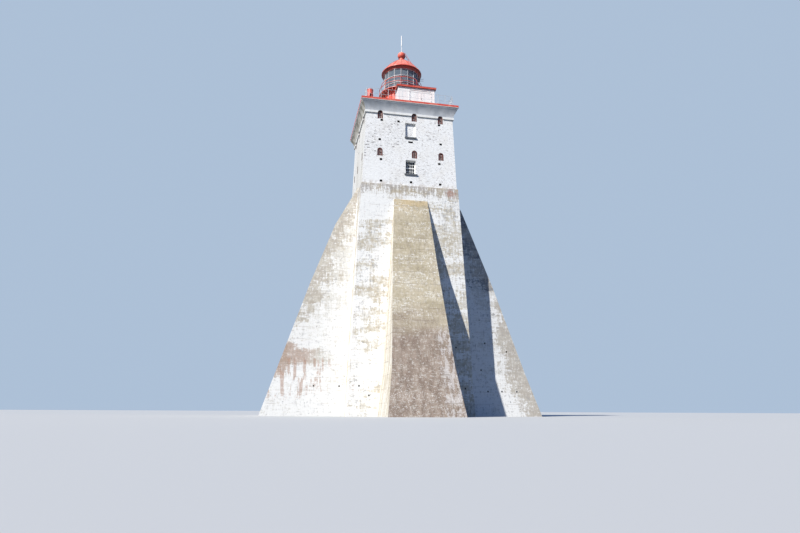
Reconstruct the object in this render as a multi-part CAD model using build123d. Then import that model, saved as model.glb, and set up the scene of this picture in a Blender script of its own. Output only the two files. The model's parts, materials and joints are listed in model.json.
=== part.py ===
"""Square stone lighthouse with four great buttresses, a walled upper block and a round lantern.

Millimetres, +Z up. The origin is on the tower axis at the lowest ground. The front faces -Y
and the left side faces -X.
"""
import os
from math import cos, degrees, radians, sin, sqrt, tan

from build123d import *

# Shaft: rubble masonry walls around a square well, with a concrete jacket over the lower part
JACKET_HEIGHT = 19780
UPPER_HEIGHT = 6930
JACKET_FOOT = 5200
JACKET_HEAD = 4365
JACKET_FOOT_THICKNESS = 300
JACKET_LEDGE = 90
WALL_HEAD = 4050
ROOM_HALF = 2850

# Floors inside the walls, each given by the level of its top
GROUND_FLOOR = 550
WINDOW_FLOOR_BELOW_SILL = 950
NICHE_FLOOR_BELOW_SILL = 950
FLOOR_THICKNESS = 250

# Buttresses: the outer face and the half width, as distances at levels
FRONT_BUTTRESS_HEIGHT = 18400
FRONT_BUTTRESS_KINK = 12600
FRONT_BUTTRESS_KINK_REACH = 6050
FRONT_BUTTRESS_REACH = 10300
FRONT_BUTTRESS_TOP_STEP = 35
SIDE_BUTTRESS_RISE = 640
SIDE_BUTTRESS_TOP_STEP = 60
SIDE_BUTTRESS_LINE_HEAD = 4900
SIDE_BUTTRESS_KINK = 11300
SIDE_BUTTRESS_KINK_REACH = 8270
SIDE_BUTTRESS_REACH = 12000
LEFT_HEAD_DROP = 3720
RIGHT_HEAD_DROP = 1600
BUTTRESS_HEAD_HALF = 1500
BUTTRESS_FLARE_LEVEL = 3600
BUTTRESS_FLARE_HALF = 2420
BUTTRESS_FOOT_HALF = 2900

# Square holes left by the formwork ties: (distance along the face, level)
TIE_SIZE = 120
TIE_DEPTH = 150
JACKET_TIES = ((-4320, 2340), (-3520, 1610), (3730, 5560), (4410, 2220))
LEFT_TIES = ((5640, 2400), (7740, 2400))
RIGHT_TIES = ((6730, 3920), (7190, 6300), (7230, 2100), (8500, 2100), (9170, 5580), (9870, 2100))

# Windows, blind niches and their sills, at rises above the jacket
WINDOW_WIDTH = 930
WINDOW_HEIGHT = 1350
WINDOW_SILL_RISE = 1160
WINDOW_CENTRE = 50
NICHE_WIDTH = 970
NICHE_HEIGHT = 1430
NICHE_SILL_RISE = 4770
NICHE_DEPTH = 400
SILL_THICKNESS = 110
SILL_OVERHANG = 120
NICHE_SILL_OVERHANG = 60
SILL_PROJECTION = 120
SILL_BEARING = 450
FRAME_SETBACK = 300
FRAME_DEPTH = 90
FRAME_WIDTH = 70
GLASS_THICKNESS = 6

# Anchor slots with round heads, and small putlog holes at (place, rise above the jacket)
SLOT_WIDTH = 480
SLOT_HEIGHT = 780
SLOT_DEPTH = 110
SLOT_PLACES = (-2750, 400, 2870)
SLOT_MID_RISE = 2720
SLOT_TOP_DROP = 520
ANCHOR_WIDTH = 70
ANCHOR_DEPTH = 45
ANCHOR_MARGIN = 90
ANCHOR_BOSS_RADIUS = 70
ANCHOR_BOSS_DEPTH = 60
HOLE_WIDTH = 230
HOLE_HEIGHT = 200
HOLE_DEPTH = 280
FRONT_HOLES = (
    (-2610, 6270), (-1060, 6280), (2750, 6290),
    (-2780, 4320), (2870, 4350),
    (-2650, 2380), (2700, 2380),
    (-2640, 320), (60, 380), (2740, 380),
)
SIDE_HOLES = ((-40, 5920), (-300, 4820), (-270, 1070))
VENT_SLIT_WIDTH = 430
VENT_SLIT_HEIGHT = 170
VENT_SLIT_BELOW_NICHE = 480

# Cornice: a band, a shallow cove, the deck slab and its red edging
MOULDING_HEIGHT = 200
MOULDING_OUT = 110
COVE_HEIGHT = 800
COVE_SET_IN = 30
COVE_HOLLOW = 55
DECK_HALF = 4460
DECK_THICKNESS = 240
EDGING_DROP = 120
EDGING_OUT = 80
EDGING_SHEET = 20
EDGING_LAP = 160

# Gallery railing of square posts and flat rails
RAIL_LINE = 4050
RAIL_HEIGHT = 1250
RAIL_BAYS = 12
POST_SIZE = 34
RAIL_SIZE = 18
LOW_RAILS = (120, 680)
STAY_SPREAD = 220
STAY_SIZE = 24

# Lantern: a ribbed drum, a catwalk, sixteen glazed facets in three tiers and a low dome
FACETS = 16
FACET_TURN = 10.0
DRUM_RADIUS = 1700
DRUM_HEIGHT = 2880
DRUM_THICKNESS = 80
RIBS = 2 * FACETS
RIB_WIDTH = 60
RIB_DEPTH = 50
CATWALK_RADIUS = 2230
CATWALK_THICKNESS = 50
BRACKET_THICKNESS = 40
BRACKET_DROP = 650
BRACKET_TIP_DROP = 160
BRACKET_SET_IN = 50
CATWALK_BAYS = 8
CATWALK_BAR = 36
CATWALK_RAIL_BAR = 36
CATWALK_RAILS = (600, 1100)
STANCHION_STRAIGHT = 600
STANCHION_RISE = 1330
GLAZING_APOTHEM = 1707
GLAZING_HEIGHT = 2220
GLAZING_TIERS = 3
GLAZING_BAR = 36
GLAZING_DEPTH = 60
LANTERN_GLASS = 10
EAVE_RADIUS = 2010
EAVE_HEIGHT = 250
EAVE_FOOT = 60
EAVE_RIM = 45
EAVE_SHELF = 200
DOME_SET_IN = 15
DOME_RISE = 1600
DOME_JOINT = 870
DOME_TOP_RADIUS = 330
DOME_BULGE = 110
DOME_LIFT = 55
DOME_SHELL = 40
SEAM_WIDTH = 40
SEAM_HEIGHT = 25
NECK_RADIUS = 220
COLLAR_HEIGHT = 60
BALL_RADIUS = 400
BALL_RISE = 610
ROD_FOOT_RADIUS = 60
ROD_THIN_RADIUS = 26
ROD_THIN_LENGTH = 760
ROD_THICK_RADIUS = 50
ROD_LENGTH = 1970
ROD_FLANGE = 30

# Ladder on the dome
LADDER_TURN = -11.25
LADDER_WIDTH = 360
LADDER_BAR = 34
LADDER_RUNGS = 5
LADDER_RUNG_RADIUS = 11
LADDER_FIRST_RUNG = 80
LADDER_FOOT_RADIUS = 1230
LADDER_FOOT_RISE = 880
LADDER_HEAD_RADIUS = 318
LADDER_HEAD_ABOVE_BALL = 270

# Two-armed aerial on one post of the glazing
AERIAL_TURN = FACET_TURN - 360 / FACETS
AERIAL_RISE = 1920
AERIAL_BLOCK = 130
AERIAL_ARM_RADIUS = 14
AERIAL_ARM_LENGTH = 430
AERIAL_ARM_SPREAD = 200

# Lens on its pedestal
LENS_RADIUS = 460
LENS_WAIST = 330
LENS_HEIGHT = 1450
LENS_RINGS = 9
LENS_RING_DEPTH = 30
LENS_BORE = 200
PEDESTAL_HEIGHT = 520
PEDESTAL_RADIUS = 180
PEDESTAL_FLANGE = 340
FLANGE_THICKNESS = 50

# Cabin at the head of the stairs
CABIN_LEFT = -940
CABIN_WIDTH = 3500
CABIN_FRONT = 3250
CABIN_HEIGHT = 2190
CABIN_WALL = 100
CABIN_GAP = 30
ROOF_THICKNESS = 160
ROOF_OVERHANG = 150
DOOR_WIDTH = 2080
DOOR_HEIGHT = 1930
DOOR_MARGIN = 320
DOOR_THICKNESS = 50
DOOR_FRAME = 70
DOOR_PANEL_DEPTH = 12

# Vent pipe and the small bent rail beside the cabin
VENT_X = -3570
VENT_Y = -3000
VENT_RADIUS = 280
VENT_HEIGHT = 1610
VENT_WALL = 20
VENT_CAP_LIP = 12
VENT_CAP_HEIGHT = 60
VENT_DOOR_WIDTH = 140
VENT_DOOR_HEIGHT = 430
VENT_DOOR_FOOT = 700
HATCH_RAIL_GAP = 220
HATCH_RAIL_WIDTH = 450
HATCH_RAIL_HEIGHT = 900
HATCH_RAIL_BAR = 48
HATCH_RAIL_BEND = 110

# Clearances
FIT = 0.3
SEAM = 0.5
OVERSHOOT = 500

ON_FOOT = (Align.CENTER, Align.CENTER, Align.MIN)
EIGHTH_TURN = radians(45)
SIDES = {"front": 0, "right": 90, "rear": 180, "left": -90}

# Levels and outlines that follow from the sizes above
WALL_TOP = JACKET_HEIGHT + UPPER_HEIGHT
WALL_AT_LEDGE = JACKET_HEAD - JACKET_LEDGE
WALL_FOOT = JACKET_FOOT - JACKET_FOOT_THICKNESS
CORNICE_TOP = WALL_TOP + MOULDING_HEIGHT + COVE_HEIGHT
DECK_TOP = CORNICE_TOP + DECK_THICKNESS
DRUM_TOP = DECK_TOP + DRUM_HEIGHT
LANTERN_FLOOR = DRUM_TOP + CATWALK_THICKNESS
GLAZING_TOP = LANTERN_FLOOR + GLAZING_HEIGHT
EAVE_TOP = GLAZING_TOP + EAVE_HEIGHT
DOME_TOP = EAVE_TOP + DOME_RISE
BALL_LEVEL = DOME_TOP + BALL_RISE
SLOT_TOP_FOOT = WALL_TOP - SLOT_TOP_DROP
SLOT_MID_FOOT = JACKET_HEIGHT + SLOT_MID_RISE
WINDOW_SILL = JACKET_HEIGHT + WINDOW_SILL_RISE
NICHE_SILL = JACKET_HEIGHT + NICHE_SILL_RISE
RAIL_LEVELS = (*LOW_RAILS, RAIL_HEIGHT - RAIL_SIZE / 2)


def between(level, low, high):
    """Straight-line value at a level, from two (level, value) pairs."""
    share = (level - low[0]) / (high[0] - low[0])
    return low[1] + share * (high[1] - low[1])


def jacket_face(level):
    """Distance of the jacket's outer face from the axis."""
    return between(level, (0, JACKET_FOOT), (JACKET_HEIGHT, JACKET_HEAD))


def wall_face(level):
    """Distance of the masonry's outer face from the axis."""
    if level < JACKET_HEIGHT:
        return between(level, (0, WALL_FOOT), (JACKET_HEIGHT, WALL_AT_LEDGE))
    return between(level, (JACKET_HEIGHT, WALL_AT_LEDGE), (WALL_TOP, WALL_HEAD))


def front_prism(outline, half_length):
    """A (distance, level) outline drawn out along X on the front side."""
    return extrude(Plane.YZ * mirror(outline, Plane.YZ), half_length, both=True)


def mitred(outline, seam=0):
    """One side of a square ring, cut on the diagonals where it meets the next side."""
    box = outline.bounding_box()
    reach = box.max.X
    quarter = Polygon((0, -seam), (seam - reach, -reach), (reach - seam, -reach), align=None)
    wedge = Pos(0, 0, box.min.Y) * extrude(quarter, box.size.Y)
    return front_prism(outline, reach) & wedge


def block(x_low, x_high, y_low, y_high, z_low, z_high):
    """A plain block between two corners."""
    size = (x_high - x_low, y_high - y_low, z_high - z_low)
    return Pos(x_low, y_low, z_low) * Box(*size, align=Align.MIN)


def ring(profile, count, inner_radius, turn=0):
    """Equal lengths of a turned ring, with a hairline seam between each and the next."""
    step = 360 / count
    seam = degrees(SEAM / inner_radius)
    piece = revolve(Plane.XZ * profile, Axis.Z, step - seam)
    return [Rot(0, 0, turn + (index - 0.5) * step + seam / 2) * piece for index in range(count)]


def rectangle_profile(inner, outer, low, high):
    """A (radius, level) rectangle."""
    return Pos(inner, low) * Rectangle(outer - inner, high - low, align=Align.MIN)


def wall_outline():
    """Section of a masonry wall, from the ground to the cornice."""
    return Polygon(
        (ROOM_HALF, 0), (WALL_FOOT, 0), (WALL_AT_LEDGE, JACKET_HEIGHT),
        (WALL_HEAD, WALL_TOP), (ROOM_HALF, WALL_TOP), align=None,
    )


def jacket_outline():
    """Section of the concrete jacket."""
    return Polygon(
        (WALL_FOOT, 0), (JACKET_FOOT, 0), (JACKET_HEAD, JACKET_HEIGHT),
        (WALL_AT_LEDGE, JACKET_HEIGHT), align=None,
    )


def arched_prism(width, height, depth):
    """An upright prism with a round head, its foot at the origin, running back along Y."""
    straight = height - width / 2
    outline = Pos(0, straight / 2) * Rectangle(width, straight)
    outline += Pos(0, straight) * Circle(width / 2)
    return extrude(Plane.XZ * outline, -depth)


def slot_feet(direction):
    """Foot of each anchor slot on one face, as (x, level)."""
    return [
        (direction * x, foot)
        for foot in (SLOT_MID_FOOT, SLOT_TOP_FOOT)
        for x in SLOT_PLACES
    ]


def slot_cutters(direction):
    """What each anchor slot takes out of the wall and of the moulding above it."""
    prism = arched_prism(SLOT_WIDTH, SLOT_HEIGHT, SLOT_DEPTH + OVERSHOOT)
    return [
        Pos(x, -wall_face(foot) - OVERSHOOT, foot) * prism
        for x, foot in slot_feet(direction)
    ]


def hole_cutter(x, level, width, height):
    """What one square hole takes out of the wall."""
    depth = HOLE_DEPTH + OVERSHOOT
    return Pos(x, -wall_face(level) + HOLE_DEPTH - depth / 2, level) * Box(width, depth, height)


def hole_cutters(places):
    """What each putlog hole takes out of the wall."""
    return [hole_cutter(x, JACKET_HEIGHT + rise, HOLE_WIDTH, HOLE_HEIGHT) for x, rise in places]


def sill_block(width, overhang, level):
    """A sill let into the wall, with its top at the given level."""
    half = width / 2 + overhang
    face = wall_face(level)
    return block(
        WINDOW_CENTRE - half, WINDOW_CENTRE + half,
        -face - SILL_PROJECTION, -face + SILL_BEARING,
        level - SILL_THICKNESS, level,
    )


def sills():
    """The sills of the window and of the niche."""
    return [
        sill_block(WINDOW_WIDTH, SILL_OVERHANG, WINDOW_SILL),
        sill_block(NICHE_WIDTH, NICHE_SILL_OVERHANG, NICHE_SILL),
    ]


def niche_block():
    """The space of the blind niche."""
    half = NICHE_WIDTH / 2
    face = wall_face(NICHE_SILL)
    return block(
        WINDOW_CENTRE - half, WINDOW_CENTRE + half, -face - OVERSHOOT, -face + NICHE_DEPTH,
        NICHE_SILL, NICHE_SILL + NICHE_HEIGHT,
    )


def window_block():
    """The space of the window, right through the wall."""
    half = WINDOW_WIDTH / 2
    return block(
        WINDOW_CENTRE - half, WINDOW_CENTRE + half,
        -wall_face(0), -ROOM_HALF + OVERSHOOT,
        WINDOW_SILL, WINDOW_SILL + WINDOW_HEIGHT,
    )


def front_wall():
    """Masonry wall with the window, the blind niche, the slots and the holes."""
    slit_level = NICHE_SILL - VENT_SLIT_BELOW_NICHE
    slit = hole_cutter(WINDOW_CENTRE, slit_level, VENT_SLIT_WIDTH, VENT_SLIT_HEIGHT)
    openings = [window_block(), niche_block(), slit]
    return mitred(wall_outline()) - openings - sills() - slot_cutters(1) - hole_cutters(FRONT_HOLES)


def side_wall():
    """Masonry wall with slots and holes only."""
    return mitred(wall_outline()) - slot_cutters(-1) - hole_cutters(SIDE_HOLES)


def window_frame():
    """Outer frame with the rail where the two sashes meet."""
    front = -wall_face(WINDOW_SILL) + FRAME_SETBACK
    half = WINDOW_WIDTH / 2 - FIT
    top = WINDOW_SILL + WINDOW_HEIGHT - FIT
    middle = (WINDOW_SILL + top) / 2
    frame = block(
        WINDOW_CENTRE - half, WINDOW_CENTRE + half, front, front + FRAME_DEPTH, WINDOW_SILL, top
    )
    lights = [
        block(
            WINDOW_CENTRE - half + FRAME_WIDTH, WINDOW_CENTRE + half - FRAME_WIDTH,
            front, front + FRAME_DEPTH, low, high,
        )
        for low, high in (
            (WINDOW_SILL + FRAME_WIDTH, middle - FRAME_WIDTH / 2),
            (middle + FRAME_WIDTH / 2, top - FRAME_WIDTH),
        )
    ]
    return frame - lights


def window_pane():
    """One sheet of glass bedded on the back of the frame."""
    back = -wall_face(WINDOW_SILL) + FRAME_SETBACK + FRAME_DEPTH
    half = WINDOW_WIDTH / 2 - FRAME_WIDTH / 2
    margin = FRAME_WIDTH / 2
    return block(
        WINDOW_CENTRE - half, WINDOW_CENTRE + half, back, back + GLASS_THICKNESS,
        WINDOW_SILL + margin, WINDOW_SILL + WINDOW_HEIGHT - margin,
    )


def anchors(direction):
    """Iron wall anchors, one bolted to the back of each slot."""
    length = SLOT_HEIGHT - 2 * ANCHOR_MARGIN
    bar = Pos(0, -ANCHOR_DEPTH / 2, SLOT_HEIGHT / 2) * Box(ANCHOR_WIDTH, ANCHOR_DEPTH, length)
    boss = extrude(Plane.XZ * Circle(ANCHOR_BOSS_RADIUS), ANCHOR_BOSS_DEPTH)
    anchor = bar + Pos(0, 0, SLOT_HEIGHT / 2) * boss
    return [
        Pos(x, -wall_face(foot) + SLOT_DEPTH, foot) * anchor
        for x, foot in slot_feet(direction)
    ]


def front_jacket():
    """Concrete jacket of the front or the rear, with its tie holes."""
    holes = [
        Pos(x, -jacket_face(level), level) * Box(TIE_SIZE, 2 * TIE_DEPTH, TIE_SIZE)
        for x, level in JACKET_TIES
    ]
    return mitred(jacket_outline()) - holes


def cheek_half(level):
    """Half width of a buttress."""
    flare = (BUTTRESS_FLARE_LEVEL, BUTTRESS_FLARE_HALF)
    if level < BUTTRESS_FLARE_LEVEL:
        return between(level, (0, BUTTRESS_FOOT_HALF), flare)
    return between(level, flare, (FRONT_BUTTRESS_HEIGHT, BUTTRESS_HEAD_HALF))


def buttress(outer_face, height):
    """A buttress between its outer face, the jacket behind it and its two battered cheeks."""
    back = [(jacket_face(0), 0)]
    if height > JACKET_HEIGHT:
        back += [(JACKET_HEAD, JACKET_HEIGHT), (WALL_AT_LEDGE, JACKET_HEIGHT)]
        back += [(wall_face(height), height)]
    else:
        back += [(jacket_face(height), height)]
    side = Polygon(*back, *outer_face, align=None)
    head_half = cheek_half(height)
    cheeks = Polygon(
        (-BUTTRESS_FOOT_HALF, 0), (BUTTRESS_FOOT_HALF, 0),
        (BUTTRESS_FLARE_HALF, BUTTRESS_FLARE_LEVEL), (head_half, height),
        (-head_half, height), (-BUTTRESS_FLARE_HALF, BUTTRESS_FLARE_LEVEL), align=None,
    )
    reach = max(distance for distance, level in outer_face)
    return front_prism(side, BUTTRESS_FOOT_HALF) & extrude(Plane.XZ * cheeks, reach)


def front_buttress():
    """Buttress of the front and the rear."""
    head = jacket_face(FRONT_BUTTRESS_HEIGHT) + FRONT_BUTTRESS_TOP_STEP
    return buttress(
        [
            (head, FRONT_BUTTRESS_HEIGHT),
            (FRONT_BUTTRESS_KINK_REACH, FRONT_BUTTRESS_KINK),
            (FRONT_BUTTRESS_REACH, 0),
        ],
        FRONT_BUTTRESS_HEIGHT,
    )


def side_buttress(ties, head_drop):
    """Deeper buttress of the two sides, lapping over the head of the jacket."""
    height = JACKET_HEIGHT + SIDE_BUTTRESS_RISE
    shoulder = height - head_drop
    kink = (SIDE_BUTTRESS_KINK, SIDE_BUTTRESS_KINK_REACH)
    head = wall_face(height) + SIDE_BUTTRESS_TOP_STEP
    holes = [
        Pos(side * cheek_half(level), -distance, level) * Box(2 * TIE_DEPTH, TIE_SIZE, TIE_SIZE)
        for distance, level in ties
        for side in (-1, 1)
    ]
    solid = buttress(
        [
            (head, height),
            (between(shoulder, (height, SIDE_BUTTRESS_LINE_HEAD), kink), shoulder),
            (SIDE_BUTTRESS_KINK_REACH, SIDE_BUTTRESS_KINK),
            (SIDE_BUTTRESS_REACH, 0),
        ],
        height,
    )
    return solid - holes


def cornice():
    """Band and shallow cove that carry the deck's edge out over the wall."""
    band = WALL_HEAD + MOULDING_OUT
    band_top = WALL_TOP + MOULDING_HEIGHT
    cove_foot = band - COVE_SET_IN
    middle = ((cove_foot + DECK_HALF) / 2 - COVE_HOLLOW, (band_top + CORNICE_TOP) / 2)
    line = Polyline(
        (DECK_HALF, CORNICE_TOP), (ROOM_HALF, CORNICE_TOP), (ROOM_HALF, WALL_TOP),
        (band, WALL_TOP), (band, band_top), (cove_foot, band_top),
    )
    cove = ThreePointArc((cove_foot, band_top), middle, (DECK_HALF, CORNICE_TOP))
    return mitred(make_face(line + cove))


def deck_edging():
    """Red metal edging of one side, lapping over the slab's top and covering its upper edge."""
    outer = DECK_HALF + EDGING_OUT
    top = DECK_TOP + EDGING_SHEET
    outline = Polygon(
        (DECK_HALF, top - EDGING_DROP), (outer, top - EDGING_DROP), (outer, top),
        (DECK_HALF - EDGING_LAP, top), (DECK_HALF - EDGING_LAP, DECK_TOP), (DECK_HALF, DECK_TOP),
        align=None,
    )
    return mitred(outline, SEAM)


def post(x):
    """One railing post on the deck."""
    half = POST_SIZE / 2
    return block(
        x - half, x + half, -RAIL_LINE - half, -RAIL_LINE + half, DECK_TOP, DECK_TOP + RAIL_HEIGHT
    )


def rails(half_length):
    """The level rails of one side."""
    half = RAIL_SIZE / 2
    return [
        block(
            -half_length, half_length, -RAIL_LINE - half, -RAIL_LINE + half,
            DECK_TOP + level - half, DECK_TOP + level + half,
        )
        for level in RAIL_LEVELS
    ]


def corner_stay(corner, spread):
    """A raked stay from the head of the corner post at x down to the deck, a spread away."""
    low = Vector(corner + spread, -RAIL_LINE, DECK_TOP)
    high = Vector(corner, -RAIL_LINE, DECK_TOP + RAIL_HEIGHT - POST_SIZE)
    plane = Plane(origin=low, z_dir=high - low)
    bar = extrude(plane * Rectangle(STAY_SIZE, STAY_SIZE), (high - low).length)
    return bar + block(
        low.X - POST_SIZE / 2, low.X + POST_SIZE / 2,
        -RAIL_LINE - POST_SIZE / 2, -RAIL_LINE + POST_SIZE / 2, DECK_TOP, DECK_TOP + STAY_SIZE,
    )


def below_deck():
    """Everything under the deck's top, to trim what stands on it."""
    reach = DECK_HALF + EDGING_OUT
    return block(-reach, reach, -reach, reach, DECK_TOP - OVERSHOOT, DECK_TOP)


def post_places():
    """Places of the posts along one side."""
    step = 2 * RAIL_LINE / RAIL_BAYS
    return [-RAIL_LINE + index * step for index in range(RAIL_BAYS + 1)]


def front_railing():
    """Railing of the front or the rear, with both corner posts and their stays."""
    railing = post(-RAIL_LINE) + [post(x) for x in post_places()[1:]] + rails(RAIL_LINE)
    railing += [
        corner_stay(corner, spread)
        for corner in (-RAIL_LINE, RAIL_LINE)
        for spread in (-STAY_SPREAD, STAY_SPREAD)
    ]
    return railing - below_deck()


def side_railing():
    """Railing of a side, fitted between the corner posts."""
    railing = rails(RAIL_LINE - POST_SIZE / 2 - FIT)
    inner = [post(x) for x in post_places()[1:-1]]
    return inner[0] + inner[1:] + railing


def hollow(low, high):
    """A hollow quarter curve in (radius, level), upright at its foot and level at its head."""
    across, up = high[0] - low[0], high[1] - low[1]
    middle = (low[0] + across * (1 - cos(EIGHTH_TURN)), low[1] + up * sin(EIGHTH_TURN))
    return ThreePointArc(low, middle, high)


def drum():
    """Plates of the drum, one to a facet, each with a rib at its edge and one in its middle."""
    profile = rectangle_profile(DRUM_RADIUS - DRUM_THICKNESS, DRUM_RADIUS, DECK_TOP, DRUM_TOP)
    plates = ring(profile, FACETS, DRUM_RADIUS, FACET_TURN)
    inner = DRUM_RADIUS - DRUM_THICKNESS / 2
    rib = block(
        inner, DRUM_RADIUS + RIB_DEPTH, -RIB_WIDTH / 2, RIB_WIDTH / 2, DECK_TOP, DRUM_TOP
    )
    return [
        plate + [
            Rot(0, 0, FACET_TURN + place * 360 / FACETS) * rib for place in (index, index + 0.5)
        ]
        for index, plate in enumerate(plates)
    ]


def catwalk_bracket():
    """One bracket with a hollow curved edge, bolted to a rib."""
    root = DRUM_RADIUS + RIB_DEPTH
    tip = CATWALK_RADIUS - BRACKET_SET_IN
    foot = DRUM_TOP - BRACKET_DROP
    toe, shelf = root + BRACKET_THICKNESS, DRUM_TOP - BRACKET_TIP_DROP
    line = Polyline((tip, shelf), (tip, DRUM_TOP), (root, DRUM_TOP), (root, foot), (toe, foot))
    curve = hollow((toe, foot), (tip, shelf))
    return extrude(Plane.XZ * make_face(line + curve), BRACKET_THICKNESS / 2, both=True)


def catwalk_rail_bay():
    """One bay of the catwalk's railing: a stanchion that bends in to the glazing, and two rails."""
    line = CATWALK_RADIUS - CATWALK_BAR
    bend = LANTERN_FLOOR + STANCHION_STRAIGHT
    top = LANTERN_FLOOR + STANCHION_RISE
    head = GLAZING_APOTHEM / cos(radians(180 / FACETS)) + CATWALK_BAR / 2 + FIT
    depth, rise_of_bend = line - head, top - bend
    bend_radius = (depth ** 2 + rise_of_bend ** 2) / (2 * depth)
    start = Plane(origin=(line, 0, LANTERN_FLOOR), z_dir=(0, 0, 1))
    path = Line((line, 0, LANTERN_FLOOR), (line, 0, bend))
    path += TangentArc((line, 0, bend), (head, 0, top), tangent=(0, 0, 1))
    stanchion = sweep(start * Circle(CATWALK_BAR / 2), path)
    step = 360 / CATWALK_BAYS
    seam = degrees(SEAM / line)
    bay = stanchion
    for rise in CATWALK_RAILS:
        above_bend = max(0, rise - STANCHION_STRAIGHT)
        radius = line - bend_radius + sqrt(bend_radius ** 2 - above_bend ** 2)
        bar = Plane.XZ * (Pos(radius, LANTERN_FLOOR + rise) * Rectangle(CATWALK_RAIL_BAR, CATWALK_RAIL_BAR))
        bay += Rot(0, 0, -step / 2 + seam / 2) * revolve(bar, Axis.Z, step - seam)
    return bay


def facet_frames():
    """Flat glazed frames of the lantern, each with one light to a tier."""
    half_angle = radians(180 / FACETS)
    outer = GLAZING_APOTHEM
    inner = GLAZING_APOTHEM - GLAZING_DEPTH
    seam = SEAM / 2 / cos(half_angle)
    plan = Polygon(
        (inner, seam - inner * tan(half_angle)), (outer, seam - outer * tan(half_angle)),
        (outer, outer * tan(half_angle) - seam), (inner, inner * tan(half_angle) - seam), align=None,
    )
    frame = Pos(0, 0, LANTERN_FLOOR) * extrude(plan, GLAZING_HEIGHT)
    tier = (GLAZING_HEIGHT - GLAZING_BAR) / GLAZING_TIERS
    half_light = outer * tan(half_angle) - GLAZING_BAR / 2
    lights = [
        block(
            inner - OVERSHOOT, outer + OVERSHOOT, -half_light, half_light,
            LANTERN_FLOOR + index * tier + GLAZING_BAR, LANTERN_FLOOR + (index + 1) * tier,
        )
        for index in range(GLAZING_TIERS)
    ]
    return around(frame - lights)


def around(piece):
    """A piece drawn at angle zero, repeated at the middle of each facet."""
    step = 360 / FACETS
    return [Rot(0, 0, FACET_TURN + (index + 0.5) * step) * piece for index in range(FACETS)]


def facet_panes():
    """Sheets of glass bedded on the back of the frames."""
    back = GLAZING_APOTHEM - GLAZING_DEPTH
    half = (back - LANTERN_GLASS) * tan(radians(180 / FACETS)) - SEAM
    pane = block(
        back - LANTERN_GLASS, back, -half, half,
        LANTERN_FLOOR + GLAZING_BAR / 2, GLAZING_TOP - GLAZING_BAR / 2,
    )
    return around(pane)


def eave():
    """Ring over the glazing, hollowed out to a thin rim that throws the rain clear."""
    inner = GLAZING_APOTHEM - EAVE_SHELF
    lip = GLAZING_APOTHEM + GLAZING_DEPTH
    foot = (lip, GLAZING_TOP + EAVE_FOOT)
    rim = (EAVE_RADIUS, EAVE_TOP - EAVE_RIM)
    line = Polyline(
        rim, (EAVE_RADIUS, EAVE_TOP), (inner, EAVE_TOP), (inner, GLAZING_TOP), (lip, GLAZING_TOP), foot
    )
    curve = hollow(foot, rim)
    return ring(make_face(line + curve), CATWALK_BAYS, inner, FACET_TURN)


def dome_curve(inset):
    """Outline of the dome from its rim to its top ring, a given depth inside the sheet."""
    foot = (EAVE_RADIUS - DOME_SET_IN - inset, EAVE_TOP)
    head = (DOME_TOP_RADIUS - inset / 2, DOME_TOP - inset)
    middle = (
        (foot[0] + head[0]) / 2 + DOME_BULGE, (foot[1] + head[1]) / 2 + DOME_LIFT
    )
    return foot, middle, head


def dome_profile(outside, inside):
    """Section of the dome between two depths, closed by a flat top ring."""
    foot, middle, head = dome_curve(outside)
    under_foot, under_middle, under_head = dome_curve(inside)
    top_inner = NECK_RADIUS - DOME_SHELL
    edge = ThreePointArc(foot, middle, head)
    edge += Polyline(head, (top_inner, head[1]), (top_inner, under_head[1]), under_head)
    edge += ThreePointArc(under_head, under_middle, under_foot)
    return make_face(edge + Line(under_foot, foot))


def dome():
    """Gores of the dome in two courses of sheets, with a raised seam over each joint."""
    gores = ring(dome_profile(0, DOME_SHELL), FACETS, NECK_RADIUS - DOME_SHELL, FACET_TURN)
    step = 360 / FACETS
    band = revolve(Plane.XZ * dome_profile(-SEAM_HEIGHT, DOME_SHELL / 2), Axis.Z, step)
    strip = block(
        DOME_TOP_RADIUS + SEAM_HEIGHT, EAVE_RADIUS, -SEAM_WIDTH / 2, SEAM_WIDTH / 2, EAVE_TOP, DOME_TOP
    )
    seam = Rot(0, 0, -step / 2) * band & strip
    whole = [
        gore + Rot(0, 0, FACET_TURN + index * step) * seam for index, gore in enumerate(gores)
    ]
    joint = EAVE_TOP + DOME_JOINT
    low_course = block(-EAVE_RADIUS, EAVE_RADIUS, -EAVE_RADIUS, EAVE_RADIUS, EAVE_TOP, joint - SEAM)
    high_course = block(-EAVE_RADIUS, EAVE_RADIUS, -EAVE_RADIUS, EAVE_RADIUS, joint, DOME_TOP)
    return [gore & course for course in (low_course, high_course) for gore in whole]


def solid_dome():
    """The space under the dome's outer face."""
    foot, middle, head = dome_curve(0)
    edge = ThreePointArc(foot, middle, head) + Polyline(head, (0, DOME_TOP), (0, EAVE_TOP), foot)
    return revolve(Plane.XZ * make_face(edge), Axis.Z)


def ball_flat():
    """Level of the small flat on the ball, where the rod stands."""
    return BALL_LEVEL + sqrt(BALL_RADIUS ** 2 - ROD_FOOT_RADIUS ** 2)


def vent_ball():
    """Collar, neck and ball on top of the dome."""
    collar = Pos(0, 0, DOME_TOP) * Cylinder(DOME_TOP_RADIUS, COLLAR_HEIGHT, align=ON_FOOT)
    neck = Pos(0, 0, DOME_TOP) * Cylinder(NECK_RADIUS, BALL_RISE, align=ON_FOOT)
    ball = Pos(0, 0, BALL_LEVEL) * Sphere(BALL_RADIUS)
    above = block(
        -BALL_RADIUS, BALL_RADIUS, -BALL_RADIUS, BALL_RADIUS, ball_flat(), ball_flat() + BALL_RADIUS
    )
    return collar + neck + ball - above


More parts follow.
